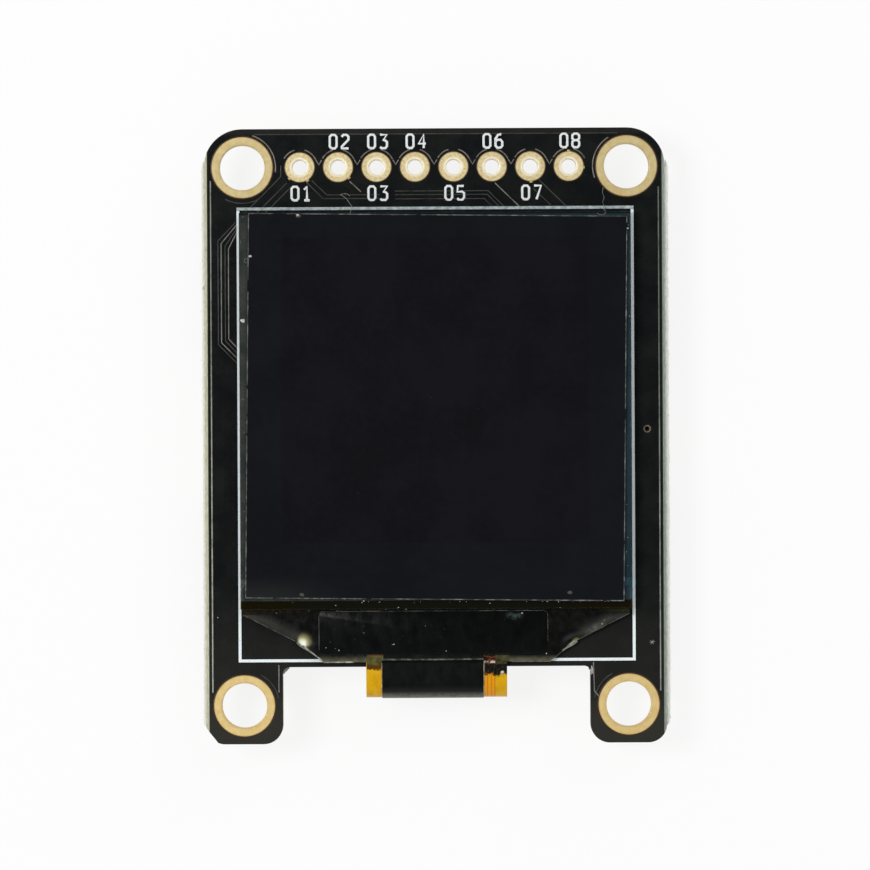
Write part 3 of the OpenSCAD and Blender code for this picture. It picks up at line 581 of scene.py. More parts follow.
def resistor_finish(top):
    """Ceramic body under a black glaze on its outer face."""
    finish = Finish("resistor_body", Specular_IOR_Level=0.5)
    glaze = finish.ramp(finish.z, top + 0.1, top + 0.05)
    white = finish.mottled(paint(206, 206, 200), paint(224, 224, 220), 0.2)
    black = finish.mottled(paint(18, 18, 20), paint(32, 32, 34), 0.3)
    body = finish.blend(glaze, white, black)
    return finish.made(body, finish.uneven(0.15, 0.3, 0.5), finish.grain(0.12, 4.0), 0.012)


def glint_finish(name, dark, light, size, low, high, roughness, grain, depth):
    """A cut or pressed edge, its colour mottled with painted glints here and there."""
    finish = Finish(name, Specular_IOR_Level=0.5)
    return finish.made(finish.mottled(dark, light, size, 5.0, low, high), finish.uneven(*roughness),
                       finish.grain(*grain), depth)


# Making pieces

def finished(name, bm, material, smooth=35):
    """Makes a piece of a shape that was drawn in mm."""
    bmesh.ops.scale(bm, vec=(MM, MM, MM), verts=bm.verts)
    mesh = bpy.data.meshes.new(name)
    bm.to_mesh(mesh)
    bm.free()
    mesh.materials.append(material)
    mesh.polygons.foreach_set("use_smooth", [True] * len(mesh.polygons))
    mesh.set_sharp_from_angle(angle=math.radians(smooth))
    piece = bpy.data.objects.new(name, mesh)
    bpy.context.scene.collection.objects.link(piece)
    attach(piece, "root")
    return piece


def cover(material, *nodes):
    """Gives the material to CAD nodes that are shown as they are."""
    for node in nodes:
        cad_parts[node].data.materials[0] = material


def cad_copy(node):
    """A CAD solid's shape in mm, its loose triangles joined and its flat faces whole."""
    bm = bmesh.new()
    bm.from_mesh(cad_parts[node].data)
    bmesh.ops.scale(bm, vec=(1 / MM, 1 / MM, 1 / MM), verts=bm.verts)
    bmesh.ops.remove_doubles(bm, verts=bm.verts, dist=0.0005)
    bmesh.ops.dissolve_limit(bm, angle_limit=math.radians(0.5), verts=bm.verts, edges=bm.edges)
    return bm


def solids_of(node):
    """The corners of each separate solid of a CAD node, in mm."""
    bm = cad_copy(node)
    left = set(bm.verts)
    boxes = []
    while left:
        reached = [left.pop()]
        for vert in reached:
            for edge in vert.link_edges:
                other = edge.other_vert(vert)
                if other in left:
                    left.remove(other)
                    reached.append(other)
        boxes.append([[pick(v.co[axis] for v in reached) for axis in range(3)] for pick in (min, max)])
    bm.free()
    return sorted(boxes)


def softened(bm, edges, radius, segments=2):
    """Rounds edges."""
    bmesh.ops.bevel(bm, geom=list(edges), offset=radius, offset_type="OFFSET", affect="EDGES",
                    segments=segments, profile=0.5, material=-1, clamp_overlap=True)


def rounded_copy(name, node, radius, material):
    """A CAD solid with its sharp edges rounded, in place of the sharp one."""
    bm = cad_copy(node)
    sharp = [e for e in bm.edges if len(e.link_faces) == 2 and e.calc_face_angle() > math.radians(40)]
    softened(bm, sharp, radius)
    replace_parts(finished(name, bm, material, 20), node)


def strands(name, lines, radius, material, pressed=1.0, height=0.0):
    """Round strands along lines of points in mm. Pressed flattens them about height."""
    curve = bpy.data.curves.new(name, "CURVE")
    curve.dimensions = "3D"
    curve.bevel_depth = radius
    curve.bevel_resolution = 1
    curve.use_fill_caps = True
    for points in lines:
        spline = curve.splines.new("POLY")
        spline.points.add(len(points) - 1)
        for point, at in zip(spline.points, points):
            point.co = (at[0], at[1], at[2] if len(at) > 2 else 0.0, 1.0)
    drawn = bpy.data.objects.new(name, curve)
    bm = bmesh.new()
    mesh = bpy.data.meshes.new_from_object(drawn)
    bm.from_mesh(mesh)
    bpy.data.objects.remove(drawn)
    bpy.data.meshes.remove(mesh)
    bmesh.ops.scale(bm, vec=(1, 1, pressed), verts=bm.verts)
    bmesh.ops.translate(bm, vec=(0, 0, height), verts=bm.verts)
    return finished(name, bm, material, 60)


def arc(x, y, radius, start, end, steps=14):
    """Points along an arc round a place, from one angle to another, in degrees."""
    angles = [math.radians(start + (end - start) * i / steps) for i in range(steps + 1)]
    return [(x + radius * math.cos(a), y + radius * math.sin(a)) for a in angles]


def turned(bm, profile, x, y, steps=48):
    """Spins a closed side view, as (radius, height) points, round an upright axis."""
    verts = [bm.verts.new((x + r, y, z)) for r, z in profile]
    edges = [bm.edges.new(pair) for pair in zip(verts, verts[1:] + verts[:1])]
    bmesh.ops.spin(bm, geom=verts + edges, cent=(x, y, 0), axis=(0, 0, 1), angle=math.tau,
                   steps=steps, use_merge=True)


def hole_linings(name, spots, radius, lip, plating, steps, material):
    """Plated barrels: thin tubes whose ends roll over onto the rings."""
    top = plating + 0.012
    bottom = -BOARD_T - top
    inner = radius - 0.012
    bm = bmesh.new()
    for x, y in spots:
        turned(bm, [(radius + lip, plating - 0.01), (radius + lip * 0.55, top), (radius + 0.02, top - 0.006),
                    (inner, -0.06), (inner, -BOARD_T + 0.06), (radius + 0.02, bottom + 0.006),
                    (radius + lip * 0.55, bottom), (radius + lip, -BOARD_T - plating + 0.01),
                    (radius + 0.03, -BOARD_T - 0.02), (radius + 0.03, 0.0)], x, y, steps)
    bmesh.ops.recalc_face_normals(bm, faces=bm.faces)
    finished(name, bm, material)


def speck(bm, x, y, z, size, flat=0.5):
    """A crumb of dust: a small lump, uneven and pressed down."""
    lump = bmesh.ops.create_icosphere(bm, subdivisions=1, radius=size)["verts"]
    for vert in lump:
        vert.co *= chance.uniform(0.7, 1.2)
    bmesh.ops.scale(bm, vec=(1, chance.uniform(0.6, 1), flat), verts=lump)
    bmesh.ops.translate(bm, vec=(x, y, z), verts=lump)


def thickened(bm, height):
    """Gives a sheet its thickness, upwards."""
    lifted = bmesh.ops.extrude_face_region(bm, geom=list(bm.faces))["geom"]
    lifted = [part for part in lifted if isinstance(part, bmesh.types.BMVert)]
    bmesh.ops.translate(bm, vec=(0, 0, height), verts=lifted)
    bmesh.ops.recalc_face_normals(bm, faces=bm.faces)


def solder_heel(bm, low, high, reach, rise):
    """Solder that climbs from the board's back to a metal end, hollow on its way up."""
    middle = [(a + b) / 2 for a, b in zip(low, high)]
    size = [b - a for a, b in zip(low, high)]
    foot = bmesh.ops.create_grid(bm, x_segments=1, y_segments=1, size=0.5)["verts"]
    bmesh.ops.scale(bm, vec=(size[0] + 2 * reach, size[1] + 2 * reach, 1), verts=foot)
    bmesh.ops.translate(bm, vec=(middle[0], middle[1], BACK_Z), verts=foot)
    face = foot[0].link_faces[0]
    for share, climb in ((0.55, 0.12), (0.22, 0.42), (0.05, 1.0)):
        raised = bmesh.ops.extrude_discrete_faces(bm, faces=[face])["faces"][0]
        for vert in raised.verts:
            x, y = (middle[axis] + math.copysign(size[axis] / 2 + reach * share, vert.co[axis] - middle[axis])
                    for axis in (0, 1))
            vert.co = (x, y, BACK_Z - rise * climb)
        face = raised


# Strokes of the figures, on a field two wide and four high
FIGURES = {
    "0": [[(0.5, 0), (0, 0.6), (0, 3.4), (0.5, 4), (1.5, 4), (2, 3.4), (2, 0.6), (1.5, 0), (0.5, 0)]],
    "1": [[(0.2, 3.1), (1, 4), (1, 0)], [(0.2, 0), (1.8, 0)]],
    "2": [[(0, 3.4), (0.5, 4), (1.5, 4), (2, 3.4), (2, 2.6), (0, 0.5), (0, 0), (2, 0)]],
    "3": [[(0, 4), (2, 4), (0.9, 2.4), (1.5, 2.3), (2, 1.8), (2, 0.6), (1.5, 0), (0.4, 0), (0, 0.4)]],
    "4": [[(1.5, 0), (1.5, 4), (0, 1.3), (2.1, 1.3)]],
    "5": [[(1.9, 4), (0.2, 4), (0, 2.3), (1.4, 2.4), (2, 1.9), (2, 0.6), (1.5, 0), (0.4, 0), (0, 0.4)]],
    "6": [[(1.7, 4), (0.8, 3.8), (0, 2.6), (0, 0.6), (0.5, 0), (1.5, 0), (2, 0.6), (2, 1.7), (1.5, 2.3),
           (0.5, 2.3), (0, 1.7)]],
    "7": [[(0, 4), (2, 4), (0.7, 0)]],
    "8": [[(0.5, 2.1), (0, 2.6), (0, 3.5), (0.5, 4), (1.5, 4), (2, 3.5), (2, 2.6), (1.5, 2.1), (0.5, 2.1),
           (0, 1.6), (0, 0.5), (0.5, 0), (1.5, 0), (2, 0.5), (2, 1.6), (1.5, 2.1)]],
    "9": [[(0.3, 0), (1.2, 0.2), (2, 1.4), (2, 3.4), (1.5, 4), (0.5, 4), (0, 3.4), (0, 2.3), (0.5, 1.7),
           (1.5, 1.7), (2, 2.3)]],
}


def figure_lines(text, x, y, height, back=False):
    """The strokes of a number, centred on a place. On the back they are turned over."""
    unit = height / 4
    hand = -1 if back else 1
    lines = []
    for i, figure in enumerate(text):
        left = (3.5 * (i - (len(text) - 1) / 2) - 1) * unit
        for stroke in FIGURES[figure]:
            lines.append([(x + hand * (left + u * unit), y + (v - 2) * unit) for u, v in stroke])
    return lines


# Board

def dress_board():
    """Lacquer, print and gold, and the plated linings of the holes."""
    gold = mounting_gold_finish()
    pin_gold = pin_gold_finish()
    cover(board_finish(), "board")
    cover(gold, "mounting_rings")
    cover(pin_gold, "pin_pads")
    cover(print_finish(), "outline_print")
    corners = [(x, y) for x in (-HOLE_X, HOLE_X) for y in (-HOLE_Y, HOLE_Y)]
    hole_linings("mounting_hole_linings", corners, HOLE_R, 0.07, PLATING, 72, gold)
    hole_linings("pin_hole_linings", [(x, PIN_Y) for x in PINS], PIN_R, 0.1, PLATING, 40, pin_gold)
    barrel = lacquer_finish("via_lacquer", paint(52, 46, 38), paint(104, 92, 74))
    hole_linings("layer_change_barrel", [VIA], VIA_R, 0.1, 0.015, 24, barrel)


def front_track_lines():
    """Edges of the copper under the lacquer on the front: the clear ones and the faint ones."""
    clear = [arc(-HOLE_X, HOLE_Y, 2.22, 72, -8), arc(HOLE_X, HOLE_Y, 2.24, 122, 200)]
    for x in PINS:
        clear += [arc(x, PIN_Y, 1.18, 150, 106, 9), arc(x, PIN_Y, 1.18, 74, 26, 9)]
    for x in PINS[:-1]:
        low, high = PIN_Y + 0.16, PIN_Y + 0.48
        clear.append([(x + 1.08, high), (x + PITCH / 2, low), (x + PITCH - 1.08, high)])
    clear += [[(-5.6, 16.85), (-4.85, 16.15)],
              [(4.0, 16.7), (5.65, 15.1)],
              [(-10.42, -15.1), (-10.42, -16.9)],
              [(10.36, -15.0), (10.42, -16.9), (10.75, -17.3)]]

    faint = [[(-11.9, TRACK_TOP), (12.1, TRACK_TOP)],
             arc(-HOLE_X, HOLE_Y, 2.36, -62, -118),
             arc(-HOLE_X, -HOLE_Y, 2.3, 62, 12),
             arc(HOLE_X, -HOLE_Y, 2.3, 118, 168),
             [(-10.13, 17.9), (-10.13, 17.2), (-10.45, 16.85), (-13.2, 14.1)],
             [(-9.75, 16.75), (-12.6, 13.9)],
             [(-9.35, 16.6), (-11.2, 14.75)]]
    for i, x in enumerate((-14.31, -14.1, -13.84, -13.62)):
        bus = [(-13.1 + 0.03 * i, 14.2 - 0.2 * i), (x, 12.95 - 0.18 * i),
               (x, 6.1 + 0.12 * i), (-12.72, 4.5 + 0.33 * i)]
        (clear if i % 2 else faint).append(bus)
    faint += [[(-8.45, 16.8), (-7.35, 15.7), (-3.2, 15.7)],
              [(-8.1, 16.9), (-7.1, 15.95), (-3.6, 15.95)],
              [(-2.6, 16.18), (3.55, 16.18), (4.75, 14.98)],
              [(-2.6, 15.94), (3.5, 15.94), (4.4, 15.0)],
              [(-2.6, 15.66), (3.3, 15.66), (3.95, 15.0)],
              [(6.85, 16.95), (8.75, 15.1)],
              [(6.55, 16.3), (7.7, 15.2)]]
    return clear, faint


def dress_front():
    """Tracks that show through the lacquer, the lacquer's rims, and the pins' numbers."""
    clear, faint = front_track_lines()
    # Painted highlight: the lacquer over the track ridges is lighter where they catch the light.
    bright = lacquer_finish("clear_tracks", paint(50, 49, 46), paint(126, 121, 115))
    strands("clear_front_tracks", clear, 0.036, bright, 0.45, 0.002)
    covered = lacquer_finish("covered_tracks", paint(26, 28, 27), paint(61, 63, 59), 0.4)
    strands("front_tracks", faint, 0.03, covered, 0.45, 0.002)
    # Painted highlight along the copper edges at the sides.
    copper = lacquer_finish("copper_rim", paint(104, 106, 98), paint(172, 174, 164), dull=fading_ridge_highlight)
    sides = [[(0.01 - TRACK_X, 16.9), (0.01 - TRACK_X, -16.9)], [(TRACK_X, 16.4), (TRACK_X, -16.9)]]
    strands("copper_sides", sides, 0.042, copper, 0.4, 0.002)
    # Painted shadow: a brown ring where the lacquer steps down to each opening.
    rim_shadow_lacquer = lacquer_finish("opening_rim_shadow", paint(34, 22, 12), paint(70, 44, 20), 0.3)
    rims = [arc(x, PIN_Y, 1.0, 0, 360, 32) for x in PINS]
    rims += [arc(x, y, RING_R + 0.04, 0, 360, 64) for x in (-HOLE_X, HOLE_X) for y in (-HOLE_Y, HOLE_Y)]
    strands("lacquer_opening_rims", rims, 0.036, rim_shadow_lacquer, 0.4, 0.004)

    stubs = []
    for pin, across, along in ((0, -0.66, -0.72), (0, 0.5, -0.84), (1, 0.7, -0.68), (6, 0.05, -0.98),
                               (7, 0.95, -0.08), (7, 0.0, 0.98)):
        stubs.append([(PINS[pin] + across * share, PIN_Y + along * share) for share in (0.8, 1.1)])
    strands("pad_stubs", stubs, 0.1, bpy.data.materials["pin_gold"], 0.3, 0.012)

    figures = []
    for y, numbers in ((19.47, (2, 3, 4, 6, 8)), (16.05, (1, 3, 5, 7))):
        for number in numbers:
            figures += figure_lines("%02d" % number, PINS[number - 1] + 0.08, y, 0.9)
    strands("pin_numbers", figures, 0.08, bpy.data.materials["white_print"], 0.2, 0.006)


def dress_sides():
    """The torn web along both long sides, with glass fibres standing out of it."""
    bm = bmesh.new()
    for side in (-1, 1):
        strip = bmesh.ops.create_grid(bm, x_segments=3, y_segments=240, size=0.5)["verts"]
        for vert in strip:
            share = vert.co.x + 0.5
            along = WEB_LOW + (vert.co.y + 0.5) * (WEB_HIGH - WEB_LOW)
            torn = 0.5 + 0.5 * math.sin(along * 2.1 + side) * math.sin(along * 0.7)
            reach = 0.1 + 0.04 * torn + chance.uniform(-0.02, 0.03) + (0.07 if side > 0 else 0.0)
            reach *= max(0.05, min(1.0, (WEB_HIGH - along) / 0.35, (along - WEB_LOW) / 0.45))
            z = -BOARD_T / 2 + chance.uniform(-0.06, 0.06) * share
            vert.co = (side * (HALF_W + 0.02 + share * reach), along, z)
    thickened(bm, WEB_T)
    bmesh.ops.translate(bm, vec=(0, 0, -WEB_T / 2), verts=bm.verts)
    finish = Finish("torn_web", Specular_IOR_Level=0.3)
    web = finish.made(laminate_colour(finish), finish.uneven(0.2, 0.6, 0.9), finish.grain(0.1, 5.0), 0.04)
    finished("snapped_web", bm, web)

    fibres = []
    for _ in range(110):
        side = chance.choice((-1, 1))
        y = chance.uniform(-18.9, 17.6)
        z = -BOARD_T / 2 + chance.uniform(-0.25, 0.25)
        start = HALF_W + 0.05
        lean = chance.uniform(-0.15, 0.15)
        tip = (side * (start + chance.uniform(0.16, 0.3)), y + lean, z + chance.uniform(-0.05, 0.05))
        fibres.append([(side * start, y, z), (side * (start + 0.12), y + lean * 0.5, z), tip])
    strands("web_fibres", fibres, 0.009, web)


# Display

def dress_display():
    """Glass, foam and polariser, and the cut edge of the glue under the polariser."""
    glass = glass_finish()
    rounded_copy("display_front_glass", "front_glass", 0.025, glass)
    rounded_copy("display_cap_glass", "cap_glass", 0.02, glass)
    cover(tape_finish("mounting_foam", paint(20, 20, 20), paint(34, 34, 33), 0.6), "mounting_tape")
    drying = plain_finish("drying_film", paint(196, 192, 178), paint(220, 218, 208), 1.2, 0.6, 0.8, 0.02)
    cover(drying, "drying_film")
    layers = plain_finish("light_layers", paint(26, 24, 32), paint(46, 42, 54), 1.5, 0.25, 0.4, 0.004)
    cover(layers, "light_layers")
    rounded_copy("polariser_sheet", "polariser", 0.03, polariser_finish())

    half_w = POLARISER_SIZE[0] / 2 - 0.055
    half_h = POLARISER_SIZE[1] / 2 - 0.05
    middle = Vector((POLARISER_SHIFT, (pol_low[1] + pol_high[1]) / 2, pol_high[2] - 0.03))
    turn = Matrix.Rotation(math.radians(POLARISER_TURN), 3, "Z")
    corners = [turn @ Vector((across * half_w, along * half_h, 0)) + middle
               for across, along in ((-1, -1), (1, -1), (1, 1), (-1, 1), (-1, -1))]
    glue = [[start.lerp(end, t / 40) + Vector((0, 0, chance.uniform(-0.012, 0.012))) for t in range(41)]
            for start, end in zip(corners, corners[1:])]
    # The cut edge of the glue, drawn pale: partly its own colour, partly a painted highlight where the cut
    # catches the light.
    edge = glint_finish("cut_glue_edge", paint(38, 42, 42), paint(122, 126, 124), 0.7, 0.42, 0.68,
                        (0.2, 0.3, 0.6), (0.1, 4.0), 0.01)
    strands("polariser_glue_edge", glue, 0.045, edge)


# Film

def wing_distance(x, y):
    """How far a spot lies inside the film's slanting side, in mm."""
    side = 0 if x < 0 else 1
    foot, top = Vector(KNEE[side]), Vector(WING[side])
    if y < foot.y:
        foot, top = Vector(WAIST[side]), foot
    along = (top - foot).normalized()
    offset = Vector((x, y)) - foot
    return abs(along.x * offset.y - along.y * offset.x)


def film_drop(x, y):
    """How far the film hangs under its plane: curled sides and two dents."""
    if abs(x) < CURL_X or y > CURL_Y:
        return 0.0
    fade = min(1.0, (abs(x) - CURL_X) / 0.8, (CURL_Y - y) / 0.4)
    curl = 0.15 * math.exp(-(wing_distance(x, y) / 0.4) ** 2)
    left = math.exp(-((x + 8.78) ** 2 + (y + 13.38) ** 2) / 0.38 ** 2)
    turn = math.radians(30)
    u = (x - 8.8) * math.cos(turn) + (y + 13.5) * math.sin(turn)
    v = -(x - 8.8) * math.sin(turn) + (y + 13.5) * math.cos(turn)
    right = math.exp(-(u / 0.6) ** 2 - (v / 0.24) ** 2)
    wave = 0.02 * math.sin(x * 2.3) * math.sin(y * 2.9)
    return (curl + wave) * fade + 0.16 * left + 0.12 * right * min(1.0, (abs(x) - CURL_X) / 0.3)


def film_height(x, y):
    """The film's middle over the slanting part, in mm."""
    return glass_low[2] - 0.05 - (BEND_Y - y) * math.tan(SLOPE) - film_drop(x, y)


def shaped_film(name, node, material):
    """The film's shape from the frame, cut fine enough for its curls and dents."""
    bm = cad_copy(node)
    planes = [(Vector((side * (CURL_X + 0.16 * i), 0, 0)), Vector((1, 0, 0)))
              for side in (-1, 1) for i in range(31)]
    planes += [(Vector((0, CURL_Y - 0.15 * i, 0)), Vector((0, 1, 0))) for i in range(20)]
    for spot, across in planes:
        geom = list(bm.verts) + list(bm.edges) + list(bm.faces)
        bmesh.ops.bisect_plane(bm, geom=geom, plane_co=spot, plane_no=across)
    for vert in bm.verts:
        if vert.co.z > -0.2 and vert.co.y < BEND_Y:
            vert.co.z -= film_drop(vert.co.x, vert.co.y)
    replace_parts(finished(name, bm, material, 25), node)


def dress_film():
    """The film with its coat and tapes, and the bare chip on it."""
    shaped_film("film_and_tail", "film", film_finish())
    shaped_film("film_black_coat", "film_coat", coat_finish())
    dress_film_edges()
    black = tape_finish("black_tape", paint(11, 12, 12), paint(15, 17, 16), 0.16)
    # A painted shine for the rims of the tapes.
    rim = glint_finish("tape_rim", paint(26, 28, 27), paint(112, 116, 108), 0.9, 0.4, 0.62,
                       (0.2, 0.3, 0.5), (0.1,), 0.008)
    dress_chip_tape(black, rim)
    dress_tail_tape(black, rim)
    silicon = plain_finish("driver_silicon", paint(70, 74, 80), paint(96, 100, 106), 1.0, 0.15, 0.3, 0.003,
                           Metallic=0.6)
    cover(silicon, "driver_chip")


def dress_film_edges():
    """The film's cut edges, its frayed one on the left and the two bulges at its knees, all drawn pale as
    painted highlights.
    """
    # Painted highlight along the film's cut edges.
    cut = glint_finish("film_cut_edge", paint(52, 52, 44), paint(150, 150, 138), 0.5, 0.35, 0.6,
                       (0.1, 0.25, 0.5), (0.08, 4.0), 0.008)
    lines = []
    for side in (0, 1):
        waist, knee, wing = (Vector(corners[side]) for corners in (WAIST, KNEE, WING))
        spots = [waist.lerp(knee, i / 14) for i in range(14)]
        spots += [knee.lerp(wing, i / 30) for i in range(31)]
        for lift in (0.052, -0.052):
            lines.append([(spot.x, spot.y, film_height(spot.x, spot.y) + lift) for spot in spots])
    waist_height = film_height(7.5, WAIST_Y)
    lines.append([(x * 0.5, WAIST_Y, waist_height + 0.05) for x in range(10, 16)])
    strands("film_cut_edges", lines, 0.02, cut)

    # The frayed edge: crumpled film with a painted highlight on it.
    frayed = plain_finish("frayed_film", paint(92, 92, 80), paint(206, 206, 192), 0.3, 0.3, 0.5, 0.01)
    ragged = [(x * 0.25, WAIST_Y + 0.02, waist_height + 0.06) for x in range(-22, -29, -1)]
    for i in range(11):
        spot = Vector(WAIST[0]).lerp(Vector(KNEE[0]), i / 12)
        ragged.append((spot.x + 0.03, spot.y + 0.02, film_height(spot.x, spot.y) + 0.06))
    strands("frayed_edge", [ragged], 0.048, frayed)

    # Painted highlight: grey strands where the film bulges at its knees.
    curled = plain_finish("curled_film", paint(96, 98, 90), paint(150, 152, 140), 0.3, 0.3, 0.5, 0.01)
    bulges = [[(-9.21, -13.6), (-8.97, -13.82), (-8.73, -13.97), (-8.49, -14.1), (-8.2, -14.29)],
              [(9.28, -13.58), (9.1, -13.74), (8.83, -13.9), (8.56, -14.04), (8.3, -14.22)]]
    bulges = [[(x, y, film_height(x, y) + 0.05) for x, y in line] for line in bulges]
    strands("curled_knees", bulges, 0.07, curled)


def dress_chip_tape(black, shine):
    """The tape over the chip, round at its corners, with a thin painted shine along its rim."""
    corner = 0.32
    bm = cad_copy("chip_tape")
    upright = [e for e in bm.edges if abs((e.verts[0].co - e.verts[1].co).normalized().z) > 0.7]
    softened(bm, upright, corner, 6)
    upper = [e for e in bm.edges if e.calc_face_angle(0) > math.radians(60) and e.verts[0].co.z > -1
             and any(f.normal.z > 0.8 for f in e.link_faces)]
    softened(bm, upper, 0.02)
    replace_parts(finished("chip_tape_cover", bm, black), "chip_tape")

    (left, bottom), (right, top) = tape_low[:2], tape_high[:2]
    around = [(left, bottom + 0.3), (left, -13.4), (left, -12.7)]
    around += arc(left + corner, top - corner, corner, 180, 90, 5)
    around += arc(right - corner, top - corner, corner, 90, 0, 5)
    around += [(right, -12.8), (right, bottom + 0.3)]
    line = []
    for start, end in zip(around, around[1:]):
        steps = max(1, int(math.dist(start, end) / 0.4))
        line += [[a + (b - a) * i / steps for a, b in zip(start, end)] for i in range(steps)]
    line = [(x, y, glass_low[2] - (BEND_Y - y) * math.tan(SLOPE) + 0.082) for x, y in line]
    strands("chip_tape_rim", [line], 0.014, shine)


def dress_tail_tape(black, shine):
    """The tape over the tail: its end on the film, a painted highlight along its rim, and glue along its
    sides.
    """
    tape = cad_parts["tail_tape"]
    cover(tape_finish("tail_tape", paint(11, 12, 12), paint(15, 17, 16), 0.3, tail_low[1]), "tail_tape")
    left, right = tail_low[0], tail_high[0]
    bm = bmesh.new()
    for vert in bmesh.ops.create_grid(bm, x_segments=24, y_segments=2, size=0.5)["verts"]:
        x = (left + right) / 2 + vert.co.x * 6.7
        y = WAIST_Y + 0.09 + vert.co.y * 0.24
        vert.co = (x, y, film_height(x, y) + 0.078)
    thickened(bm, 0.05)
    finished("tail_tape_end", bm, black)
    y = WAIST_Y + 0.17
    end = [(left + (right - left) * i / 20, y, film_height(0, y) + 0.115) for i in range(21)]
    strands("tail_tape_rim", [end], 0.06, shine)

    glue = []
    for x, step in ((left, 0.02), (right, -0.02)):
        line = []
        for i in range(26):
            y = WAIST_Y - 0.05 - i * 0.09
            hit, spot, _, _ = tape.ray_cast(Vector((x + step, y, 3)) * MM, Vector((0, 0, -1)))
            if hit:
                line.append((x - step, y, spot.z / MM - 0.012))
        glue.append(line)
    pale = plain_finish("tape_glue", paint(120, 104, 66), paint(206, 190, 150), 0.4, 0.3, 0.5, 0.006)
    strands("tail_tape_glue", glue, 0.028, pale)


# Back

# The metal ends that are soldered to the back, with how far out and how high the solder goes
SOLDERED = (("capacitor_ends", 0.2, 0.42), ("resistor_ends", 0.18, 0.26),
            ("level_shifter_legs", 0.1, 0.14), ("regulator_legs", 0.14, 0.2),
            ("boost_converter_legs", 0.14, 0.2), ("boost_diode_legs", 0.14, 0.2),
            ("transistor_legs", 0.14, 0.2), ("coil_terminals", 0.2, 0.3),
            ("left_contacts", 0.1, 0.14), ("right_contacts", 0.1, 0.14),
            ("left_anchors", 0.16, 0.3), ("right_anchors", 0.16, 0.3))

SMALL_PARTS = ("large_capacitors", "small_capacitors", "resistors")


def dress_sockets():
    """Ivory sockets, and tin on every metal end."""
    cover(socket_finish(), "left_socket", "right_socket")
    tin = metal_finish("tinned_metal", paint(176, 178, 180), paint(214, 215, 214), 0.24, 0.4)
    cover(tin, *(node for node, _, _ in SOLDERED))


def dress_back_parts():
    """Chips, capacitors, resistors and the coil, and the solder round their ends."""
    for name, node, marks in (("level_shifter_body", "level_shifter", ((-1.35, 7.2),)),
                              ("regulator_body", "regulator", ()),
                              ("boost_converter_body", "boost_converter", ()),
                              ("boost_diode_body", "boost_diode", ()),
                              ("transistor_bodies", "transistors", ())):
        rounded_copy(name, node, 0.07, chip_finish(node + "_plastic", marks))
    ceramic = plain_finish("capacitor_ceramic", paint(150, 118, 84), paint(178, 146, 110),
                           0.4, 0.4, 0.55, 0.012)
    rounded_copy("large_capacitor_bodies", "large_capacitors", 0.05, ceramic)
    rounded_copy("small_capacitor_bodies", "small_capacitors", 0.04, ceramic)
    resistor_top = box_mm("resistors")[0][2]
    rounded_copy("resistor_bodies", "resistors", 0.03, resistor_finish(resistor_top))
    ferrite = plain_finish("ferrite", paint(44, 43, 44), paint(66, 64, 64), 0.5, 0.5, 0.7, 0.02)
    rounded_copy("coil_shield_block", "coil_shield", 0.06, ferrite)
    cover(ferrite, "coil_drum")
    cover(winding_finish(), "coil_winding")

    solder = metal_finish("solder", paint(150, 153, 156), paint(206, 208, 210), 0.2, 0.38, 0.5)
    cover(solder, "tail_solder")
    gold = metal_finish("plain_gold", paint(206, 172, 104), paint(232, 206, 148), 0.34, 0.5, 0.6)
    cover(gold, "tail_pads", "jumper_pads")

    heels = bmesh.new()
    for node, reach, rise in SOLDERED:
        for low, high in solids_of(node):
            low, high = foot_on_board(node, low, high)
            solder_heel(heels, low, high, reach, rise)
    bmesh.ops.recalc_face_normals(heels, faces=heels.faces)
    finished("solder_heels", heels, solder, 80)


def foot_on_board(node, low, high):
    """The part of a metal leg that lies on the board."""
    low, high = list(low), list(high)
    if node.endswith("contacts"):
        side = -1 if node.startswith("left") else 1
        inner = min(abs(low[0]), abs(high[0]))
        low[0], high[0] = sorted((side * inner, side * (inner + 0.5)))
    return low, high


def back_track_lines():
    """Edges of the copper under the lacquer on the back."""
    lines = [[(x, 16.9), (x, -16.9)] for x in (-TRACK_X, TRACK_X)]
    lines.append([(-12, TRACK_TOP), (12, TRACK_TOP)])
    for x in (-HOLE_X, HOLE_X):
        lines += [arc(x, y, 2.36, 0, 360, 30) for y in (HOLE_Y, -HOLE_Y)]
    low, high = box_mm("level_shifter")
    for i, pin in enumerate(PINS):
        leg = (low[0] + high[0]) / 2 + LEG_PITCH * (i - 3.5)
        inner = leg * 0.8 - 0.6
        lines.append([(leg, 12.2), (leg, 12.6), (pin * 0.55 + 0.3, 14.4), (pin, 15.6), (pin, 16.6)])
        lines.append([(leg, 5.9), (leg, 4.8 - 0.12 * abs(i - 3.5)), (inner, 3.0), (inner, 1.2 - 0.2 * i)])
    return lines + [[(-6.9, -5), (-6.9, -6.4)],
                    [(-5.2, -3.2), (-3.0, -3.2), (-3.0, -5.4)],
                    [(8.6, 8.4), (8.6, 8.1)],
                    [(10.2, 1.5), (9.0, 1.5), (6.2, 4.3), (6.2, 8.6), (4.4, 10.4)],
                    [(10.2, 0.5), (8.6, 0.5), (5.2, 3.9), (5.2, 7.2)],
                    [(-10.2, 1.5), (-9.4, 1.5), (-7.2, 3.7), (-7.2, 5.4)],
                    [(-10.2, 0.5), (-9.0, 0.5), (-5.4, 4.1), (-5.4, 8.0), (-4.2, 9.2)]]


